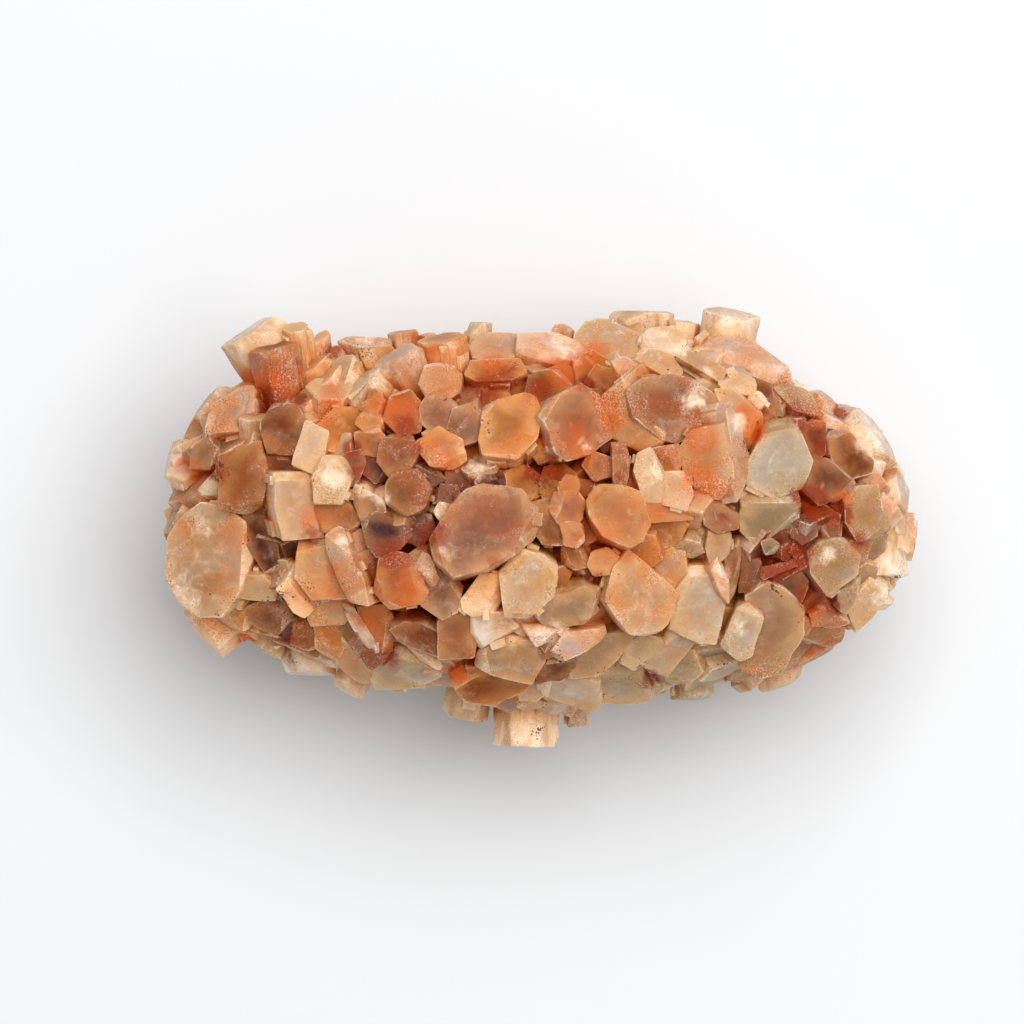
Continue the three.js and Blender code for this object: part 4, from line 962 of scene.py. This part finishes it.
ORE = """
-31.6 -0.4 0.8 0.7, -34.6 0.7 0.8 0.7, -26 -4.8 1 0.9, -32 8.2 1.6 0.8, -25.6 -7 1 1, -25.2 -10.5
1.3 1, -25 -13.2 0.9 1, -25.6 15 1.6 0.5, 20.2 8 1.2 0.7, 14.2 13.6 1 1, 23.6 -6 1.6 0.6, -21.6 11.4
1.2 0.7, -17.6 17.8 1.4 0.8, 15.2 6 2 0.4, 10 -14 1.6 0.7, -31.4 5.6 1 0.9, 0.8 4.4 1.2 1, -32 -7.6
1.8 0.6, -28 -7.2 1.5 0.6, 22.4 -3.2 1.3 0.8, -0.6 -20 2.2 0.5, 6.8 -15.6 2 0.4, 35.6 -4.6 1.4 0.7,
-8.6 -1.2 1.6 0.4, 18.6 -13.4 1.3 0.5, 2 -11.6 1.6 0.6, -6 -19 1.4 0.5
"""
STAINED_ABOVE = 12  # mm, the lowest that the places reach down


def lattice(points, seed):
    """Smooth seeded noise between 0 and 1, on an array of points."""
    cell = np.floor(points).astype(np.int64)
    part = points - cell
    ease = part * part * (3 - 2 * part)
    total = np.zeros(len(points))
    for corner in np.ndindex(2, 2, 2):
        x, y, z = (cell + corner).T
        mixed = (x * 73856093 ^ y * 19349663 ^ z * 83492791 ^ seed * 2654435761) & 0xFFFFFFFF
        mixed = (mixed ^ (mixed >> 13)) * 1274126177 & 0xFFFFFFFF
        value = ((mixed ^ (mixed >> 16)) & 0xFFFF) / 65535
        weight = np.prod(np.where(corner, ease, 1 - ease), axis=1)
        total += weight * value
    return total


def distance_to_outline(points, outline):
    """Distance in the plane from each point to the nearest side of an outline."""
    least = np.full(len(points), np.inf)
    ring = np.array(outline)
    for a, b in zip(ring, np.roll(ring, -1, axis=0)):
        run = b - a
        along = np.clip((points - a) @ run / max(run @ run, 1e-9), 0, 1)
        least = np.minimum(least, np.linalg.norm(points - a - along[:, None] * run, axis=1))
    return least


def distance_to_corners(points, outline):
    ring = np.array(outline)
    return np.linalg.norm(points[:, None] - ring[None], axis=2).min(axis=1)


def read(items, name, width=1, kind=float):
    """One value, or a row of them, for each item of a mesh."""
    values = np.empty(len(items) * width, dtype=kind)
    items.foreach_get(name, values)
    return values.reshape(-1, width) if width > 1 else values


@dataclass
class Skin:
    """The joined mesh, and arrays with a row for each of its vertices or face corners."""
    mesh: object
    crystals: list

    def __post_init__(self):
        mesh = self.mesh
        self.points = read(mesh.vertices, "co", 3)
        self.vertex = read(mesh.loops, "vertex_index", kind=np.int32)
        self.owner = np.repeat(read(mesh.attributes["crystal"].data, "value", kind=np.int32), 3)
        self.normals = np.repeat(read(mesh.polygons, "normal", 3), 3, axis=0)
        count = len(self.owner)
        self.grown = np.zeros((count, 3))
        self.rim, self.cap = np.zeros(count), np.zeros(count)
        self.edge = np.full(count, FAR)
        at = self.points[self.vertex]
        order = np.argsort(self.owner, kind="stable")
        starts = np.searchsorted(self.owner[order], np.arange(1, len(self.crystals) + 2))
        for crystal, start, stop in zip(self.crystals, starts, starts[1:]):
            corners = order[start:stop]
            if len(corners):
                self.measure(crystal, corners, at[corners])

    def measure(self, crystal, corners, at):
        turn = np.array((crystal.side, crystal.up, crystal.axis))
        local = (at - np.array(crystal.end)) @ turn.T
        facing = self.normals[corners] @ turn[2]
        depth = np.maximum(-local[:, 2], 0)
        taper = 1 - (1 - ROOT_WIDTH) * depth / crystal.reach
        flat = local[:, :2] / taper[:, None]
        rim = distance_to_outline(flat, crystal.outline)
        cap = (facing > 0.8) & (depth < 0.6)
        arris = distance_to_corners(flat, crystal.outline)
        self.grown[corners] = local
        self.rim[corners] = rim
        self.cap[corners] = cap
        self.edge[corners] = np.where(cap, rim, np.minimum(depth, arris))

    def outward(self):
        """The direction out of the skin at each vertex."""
        push = np.zeros((len(self.points), 3))
        np.add.at(push, self.vertex, self.normals)
        return push / np.maximum(np.linalg.norm(push, axis=1), 1e-6)[:, None]

    def roughen(self):
        """Wears the edges and gives the faces a low relief."""
        points = self.points
        edge = np.full(len(points), FAR)
        np.minimum.at(edge, self.vertex, self.edge)
        near = np.clip(1 - edge / WEAR_REACH, 0, 1)
        worn = np.clip(lattice(points / WEAR_SIZE, 3) * 1.9 - 0.75, 0, 1)
        relief = lattice(points / SWELL_SIZE, 8) - 0.5 + 0.4 * (
            lattice(points / GRAIN_SIZE, 9) - 0.5)
        moved = SWELL * relief - WEAR * near * worn
        moved[points[:, 2] < 0.3] = 0
        points += self.outward() * moved[:, None]
        self.mesh.vertices.foreach_set("co", points.ravel())
        self.mesh.update()

    def near(self, places):
        """How near each corner of the skin is to any of some places, 0 to 1."""
        at = self.points[self.vertex]
        total = np.zeros(len(at))
        for place in places.split(","):
            x, y, radius, strength = map(float, place.split())
            away = np.hypot(at[:, 0] - x, at[:, 1] - y)
            total += strength * np.exp(-(away / radius) ** 2)
        return np.minimum(total * (at[:, 2] > STAINED_ABOVE), 1)

    def openness(self, bulk):
        """How open each corner of the skin is."""
        return bulk.openness(self.points, self.outward())[self.vertex]


def linear(colour):
    """sRGB bytes to linear."""
    part = np.array(colour) / 255
    return np.where(part <= 0.04045, part / 12.92, ((part + 0.055) / 1.055) ** 2.4)


def tone_colours(tone):
    """Linear colours of a tone: the hazy middle of its end face, darker partly as painted shade; the
    paler colour round it and down the walls, partly a painted glow; and its deep colour, stain in part
    and painted glow and shade in part.
    """
    shown, stain_and_glow, haze = TONES[tone]
    shown = np.array(shown)
    three = (shown * (1 - haze * np.array((0.95, 1.05, 0.8))),
             shown + RIND_AND_GLOW_SHARE * (np.array(RIND_AND_GLOW_COLOUR) - shown), np.array(stain_and_glow))
    return [np.maximum(GAIN * linear(colour) - GLOSS, 0.001) for colour in three]


def write_colours(mesh, owner, crystals, chance):
    """Three colours for each face corner, a little different on each crystal."""
    tables = np.zeros((3, len(crystals) + 1, 3))
    tables[:, 0] = tone_colours("brown")
    for crystal in crystals:
        warmth, light = chance.gauss(0, WARMTH_UNEVEN), chance.gauss(0, LIGHT_UNEVEN)
        for table, colour in zip(tables, tone_colours(crystal.tone)):
            table[crystal.number] = colour * (
                1 + light + warmth, 1 + light, 1 + light - 1.5 * warmth)
    for name, table in zip(("heart_and_shade", "rind_and_glow", "stain_and_glow"), tables):
        layer = mesh.attributes.new(name, "FLOAT_COLOR", "CORNER")
        values = np.ones((len(owner), 4))
        values[:, :3] = np.clip(table[owner], 0, 1)
        layer.data.foreach_set("color", values.ravel())


def write_places(skin, bulk, chance):
    """Where each face corner stands on its crystal."""
    offsets = np.array([[chance.uniform(0, 50) for _ in range(3)]
                        for _ in range(len(skin.crystals) + 1)])
    depth = np.maximum(-skin.grown[:, 2], 0)
    for name, values in (
            ("grown", skin.grown + offsets[skin.owner]),
            ("stand", np.stack([skin.rim, skin.cap, skin.openness(bulk)], axis=1)),
            ("depth", np.stack([depth, skin.edge, skin.near(ORE)], axis=1)),
            ("stained", np.stack([skin.near(places) for places in (IRON, OCHRE, FROST)],
                                 axis=1))):
        layer = skin.mesh.attributes.new(name, "FLOAT_VECTOR", "CORNER")
        layer.data.foreach_set("vector", values.ravel())


def finish_mesh(bm):
    """Smooth faces with sharp edges kept sharp."""
    for face in bm.faces:
        face.smooth = True
    for edge in bm.edges:
        edge.smooth = edge.calc_face_angle(0) < SHARP


# ---- the material ----

class Socket:
    """A number that changes over the surface. Arithmetic on it adds Math nodes."""

    def __init__(self, shop, socket):
        self.shop, self.socket = shop, socket

    def maths(self, operation, other):
        return self.shop.maths(operation, self, other)

    __add__ = __radd__ = partialmethod(maths, "ADD")
    __sub__ = partialmethod(maths, "SUBTRACT")
    __mul__ = __rmul__ = partialmethod(maths, "MULTIPLY")
    __pow__ = partialmethod(maths, "POWER")
    least = partialmethod(maths, "MINIMUM")

    def __rsub__(self, other):
        return self.shop.maths("SUBTRACT", other, self)

    def between(self, low, high, start=0, stop=1):
        """Eased from start to stop while the value goes from low to high."""
        node = self.shop.node("ShaderNodeMapRange", {"interpolation_type": "SMOOTHSTEP"}, {
            "Value": self, "From Min": low, "From Max": high, "To Min": start, "To Max": stop})
        return Socket(self.shop, node.outputs[0])


class Shop:
    """Builds one material's nodes."""

    def __init__(self, name):
        self.material = bpy.data.materials.new(name)
        self.material.use_nodes = True
        self.tree = self.material.node_tree
        self.shader = self.tree.nodes["Principled BSDF"]

    def node(self, kind, settings=None, sockets=None):
        node = self.tree.nodes.new(kind)
        for name, value in (settings or {}).items():
            setattr(node, name, value)
        self.feed(node, sockets or {})
        return node

    def feed(self, node, sockets):
        for name, value in sockets.items():
            target = node.inputs[name] if isinstance(name, int) else next(
                socket for socket in node.inputs if name in (socket.identifier, socket.name))
            value = value.socket if isinstance(value, Socket) else value
            if isinstance(value, bpy.types.NodeSocket):
                self.tree.links.new(value, target)
            else:
                target.default_value = value

    def maths(self, operation, a, b):
        return Socket(self, self.node(
            "ShaderNodeMath", {"operation": operation}, {0: a, 1: b}).outputs[0])

    def attribute(self, name):
        return self.node("ShaderNodeAttribute", {"attribute_name": name}).outputs

    def parts(self, name):
        split = self.node("ShaderNodeSeparateXYZ", {}, {0: self.attribute(name)["Vector"]})
        return [Socket(self, output) for output in split.outputs]

    def scaled(self, vector, scale):
        return self.node("ShaderNodeVectorMath", {"operation": "MULTIPLY"},
                         {0: vector, 1: scale}).outputs[0]

    def noise(self, vector, scale, detail=2, roughness=0.5, distortion=0):
        node = self.node("ShaderNodeTexNoise", {}, {
            "Vector": vector, "Scale": scale, "Detail": detail, "Roughness": roughness,
            "Distortion": distortion})
        return Socket(self, node.outputs[0])

    def cells(self, vector, scale):
        """Distance from the middle of a cell."""
        node = self.node("ShaderNodeTexVoronoi", {}, {"Vector": vector, "Scale": scale})
        return Socket(self, node.outputs["Distance"])

    def facets(self, vector, scale):
        """A value between 0 and 1 for each cell, flat inside it."""
        node = self.node("ShaderNodeTexVoronoi", {}, {
            "Vector": self.scaled(vector, scale), "Scale": 1})
        split = self.node("ShaderNodeSeparateColor", {}, {0: node.outputs["Color"]})
        return Socket(self, split.outputs[0])

    def paint(self, factor, colour, kind="MIX"):
        """Lays a colour over what is there."""
        self.colour = self.mixed(factor, self.colour, colour, kind)

    def mixed(self, factor, a, b, kind="MIX"):
        node = self.node("ShaderNodeMix", {
            "data_type": "RGBA", "blend_type": kind, "clamp_result": True}, {
            "Factor_Float": factor, "A_Color": rgba(a), "B_Color": rgba(b)})
        return node.outputs[2]


def rgba(colour):
    """A colour as a socket wants it. A link stays what it is."""
    return (*linear(colour), 1) if isinstance(colour, tuple) else colour


def aragonite():
    """Frosted, iron-stained aragonite."""
    shop = Shop("aragonite")
    grown = shop.attribute("grown")["Vector"]
    body = shop.node("ShaderNodeTexCoord").outputs["Object"]
    # heart, rind and stain colours: partly the stone's own colour, partly painted shade and glow
    heart_and_shade, rind_and_glow, stain_and_glow = (shop.attribute(name)["Color"] for name in ("heart_and_shade", "rind_and_glow", "stain_and_glow"))
    rim, cap, opening = shop.parts("stand")
    depth, edge, ore = shop.parts("depth")
    iron, ochre, frost = shop.parts("stained")
    wall = 1 - cap

    cloud = shop.noise(grown, 0.22, 3, 0.5, 0.8)
    mottle = shop.noise(grown, 0.75, 4, 0.6, 0.6)
    grain = shop.noise(grown, 4.5, 3, 0.65)
    veil = shop.noise(body, 170, 4, 0.62, 0.8)
    wisp = shop.noise(body, 420, 3, 0.6, 1.2)
    streak = shop.noise(shop.scaled(grown, (1.9, 1.9, 0.15)), 1, 3, 0.65)
    fine_streak = shop.noise(shop.scaled(grown, (7, 7, 0.3)), 1, 2, 0.5)
    facet = shop.facets(grown, (0.42, 0.55, 0.2))
    small_facet = shop.facets(grown, (1.3, 1.1, 0.45))

    # end faces: a hazy heart, off the middle, inside a paler rind; the darker heart is partly painted
    # shade of the deep stone, the paler rind partly a painted glow of light let in at the edges
    inner = (rim + cloud * 6.5 + mottle * 2.6 + facet * 0.25 - 5.2).between(-1.3, 1.9)
    # walls: the rind's paler colour, partly painted glow, at the end, with fewer streaks of the heart's
    # colour
    flank = (streak + mottle * 0.4 - depth * 0.02).between(0.62, 0.86) * 0.7
    shop.colour = shop.mixed(inner * cap + flank * wall, rind_and_glow, heart_and_shade)
    pale = shop.mixed(0.6, rind_and_glow, MILK)
    milky = shop.mixed(0.25, rind_and_glow, MILK)
    lit = (streak * 0.7 + fine_streak * 0.35 + cloud * 0.6).between(0.72, 1.0) * wall * 0.7
    shop.paint(lit, shop.mixed(0.5, milky, pale))

    # flaws inside: wisps of paler and of warmer stone
    haze = (wisp * 0.6 + mottle * 0.6 + veil * 0.6 + facet * 0.06).between(0.9, 1.22)
    shop.paint(haze * 0.4, milky)
    warm = ((1 - facet) * 0.2 + veil * 1.3 + (1 - cloud) * 0.5).between(0.88, 1.3)
    shop.paint(warm * 0.6, stain_and_glow)

    # stain colour towards the root and in the clefts: partly iron stain, partly painted glow and shade
    # where the stone is deep or shut in
    sunk = (depth + cloud * 5 + streak * 3.6 - 4.2).between(0.9, 5.6) * wall
    shut = (opening + mottle * 0.5 - 0.25).between(0.6, 0.24)
    shop.paint((sunk * 0.75 + shut * 0.7).least(0.95), stain_and_glow)

    # stained in places: orange, deep red, and frosted white
    ragged = mottle * 0.8 + wisp * 0.7 - 0.75
    ochre = (ochre + ragged).between(0.1, 0.8) * (wall * 0.3 + 0.6)
    shop.paint(ochre, OCHRE_STAIN)
    # the deep red reaches further into shut-in clefts, there partly painted shade
    red = (iron * (wall * 0.2 + 0.85) + ragged + shut * 0.3).between(0.15, 0.65)
    shop.paint(red * 0.85, IRON_STAIN)
    white = (frost * 1.2 + ragged * 1.5 + small_facet * 0.12).between(0.3, 1.2)
    shop.paint(white * 0.75, FROSTED)

    # light and dark clouds inside the stone, deeper in colour where it is dark; in the clefts redder
    # and with less blue, a painted glow and shade
    tint = (mottle * 0.6 + cloud * 0.6 + veil * 0.5 + grain * 0.25 + facet * 0.04 + 0.11)
    cleft = 1 - opening
    tinted = shop.node("ShaderNodeCombineColor", {}, {
        0: tint ** 0.8 * (cleft * 0.15 + 1), 1: tint ** 1.4 * (1 - cleft * 0.15),
        2: tint ** 2.1 * (1 - cleft * 0.55)}).outputs[0]
    shop.paint(1, tinted, "MULTIPLY")

    # chipped, frosted edges, only where open; they also stand in for painted highlights on the edges
    chips_and_glints = (grain * 0.8 - edge * 1.2 + mottle * 0.5 + wisp * 0.9 + cloud * 0.5).between(1.27, 1.5)
    shop.paint(chips_and_glints * opening.between(0.25, 0.6) * 0.45, pale)

    # dust: pale grains, which also stand in for small painted glints, and rusty ones
    dust = shop.noise(body, 6000, 2, 0.6)
    patch = veil + mottle * 0.6 - edge * 0.05
    shop.paint((dust + patch * 0.8).between(1.24, 1.46) * 0.24, PALE_DUST_AND_GLINT)
    shop.paint((dust - patch * 0.8 - ore * 0.07).between(-0.18, -0.38) * 0.4, RUSTY_DUST)

    # specks of iron ore, crowded along edges and clefts here and there
    crowd = wisp + ore * 0.22
    dots = shop.cells(grown, 3.2) + grain * 0.35
    lone = (dots + (0.62 - crowd) * 2.2 + edge * 0.12).between(0.4, 0.3)
    shop.paint(lone * 0.85, SPECK)
    dirt = (ore + ragged * 1.6 - opening * 0.2).between(0.55, 0.9)
    shop.paint(dirt * 0.7, DIRT)

    shop.feed(shop.shader, {
        "Base Color": shop.colour,
        "Roughness": mottle.between(0.3, 0.7, 0.28, 0.46),
        "Normal": shop.node("ShaderNodeBump", {}, {
            "Strength": 0.5, "Distance": 0.0002,
            "Height": streak * wall * 1.3 + mottle + grain * 0.3,
        }).outputs[0],
        "Subsurface Weight": 0.6,
        "Subsurface Radius": (1.0, 0.8, 0.65),
        "Subsurface Scale": 0.0015,
        "IOR": 1.53,
        "Specular IOR Level": 0.12,
    })
    return shop.material


def floor_paint():
    shop = Shop("pale_floor")
    shop.feed(shop.shader, {"Base Color": rgba(FLOOR), "Roughness": 0.9,
                            "Specular IOR Level": 0.1})
    return shop.material


# ---- the cluster ----

SMALL_REACH = 9
SCENE_SEED = 5  # for what the part's source doesn't have


def grown_crystals(chance):
    """Every crystal, numbered, and those of them that are large."""
    draw = seeded(SEED)
    listed = [*cap_crystals(CAPS), *arm_crystals(ARMS, draw)]
    feet, small = list(feet_crystals(draw)), list(cap_crystals(SMALL_CAPS))
    for crystal in small:
        crystal.reach = SMALL_REACH
    mains = listed + feet + list(flank_crystals(listed, draw, chance)) + small
    large = mains + list(filler_crystals(mains, chance))
    crystals = large + list(ledge_crystals(large, chance))
    crystals += sprig_crystals(large, chance)
    for number, crystal in enumerate(crystals, 1):
        crystal.number = number
    return crystals, large


def cluster():
    chance = random.Random(SCENE_SEED)
    crystals, large = grown_crystals(chance)
    joined_mesh = joined(core_object(), [crystal_object(one, chance) for one in crystals])
    bm = bmesh.new()
    bm.from_mesh(joined_mesh)
    bpy.data.meshes.remove(joined_mesh)
    outer_skin(bm)
    bulk = Bulk(large)
    refine(bm, bulk, 1)
    piece = object_from(bm, "aragonite_crystals")
    skin = Skin(piece.data, crystals)
    skin.roughen()
    write_colours(piece.data, skin.owner, crystals, chance)
    write_places(skin, bulk, chance)
    bm = bmesh.new()
    bm.from_mesh(piece.data)
    finish_mesh(bm)
    bmesh.ops.scale(bm, vec=(0.001, 0.001, 0.001), verts=bm.verts)
    bm.to_mesh(piece.data)
    bm.free()
    piece.data.materials.append(aragonite())
    bpy.context.scene.collection.objects.link(piece)
    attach(piece, "root")
    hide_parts("crystal_cluster")


# ---- floor, light and camera ----

VIEW_CENTRE = (-0.00275, 0.00155)
VIEW_HEIGHT = 1.22
LENS = 422
LAMP_PLACE = (0.16, 0.2, 0.75)
LAMP_AIM = (0, 0, 0.02)
LAMP_SIZE = (0.7, 0.6)
LAMP_POWER = 6.8
SKY_LIGHT = 0.46
FLOOR_DROP = 0.00003  # the floor lies a hair below the flat spots of the feet


def stage():
    scene = bpy.context.scene
    bm = bmesh.new()
    bmesh.ops.create_grid(bm, x_segments=1, y_segments=1, size=1.5)
    bmesh.ops.translate(bm, verts=bm.verts, vec=(0, 0, -FLOOR_DROP))
    floor = object_from(bm, "floor")
    floor.data.materials.append(floor_paint())
    scene.collection.objects.link(floor)

    soft = bpy.data.lights.new("softbox", "AREA")
    soft.shape, soft.size, soft.size_y = "RECTANGLE", *LAMP_SIZE
    soft.energy = LAMP_POWER
    lamp = bpy.data.objects.new("softbox", soft)
    lamp.location = LAMP_PLACE
    lamp.rotation_euler = (Vector(LAMP_AIM) - lamp.location).to_track_quat(
        "-Z", "Y").to_euler()
    scene.collection.objects.link(lamp)

    world = bpy.data.worlds.new("studio")
    world.use_nodes = True
    sky = world.node_tree.nodes["Background"]
    sky.inputs["Color"].default_value = (1, 1, 1, 1)
    sky.inputs["Strength"].default_value = SKY_LIGHT
    scene.world = world

    lens = bpy.data.cameras.new("camera")
    lens.lens, lens.sensor_width = LENS, 36
    lens.clip_start, lens.clip_end = 0.05, 10
    camera = bpy.data.objects.new("camera", lens)
    camera.location = (*VIEW_CENTRE, VIEW_HEIGHT)
    scene.collection.objects.link(camera)
    scene.camera = camera
    scene.view_settings.view_transform = "Standard"


stage()
cluster()
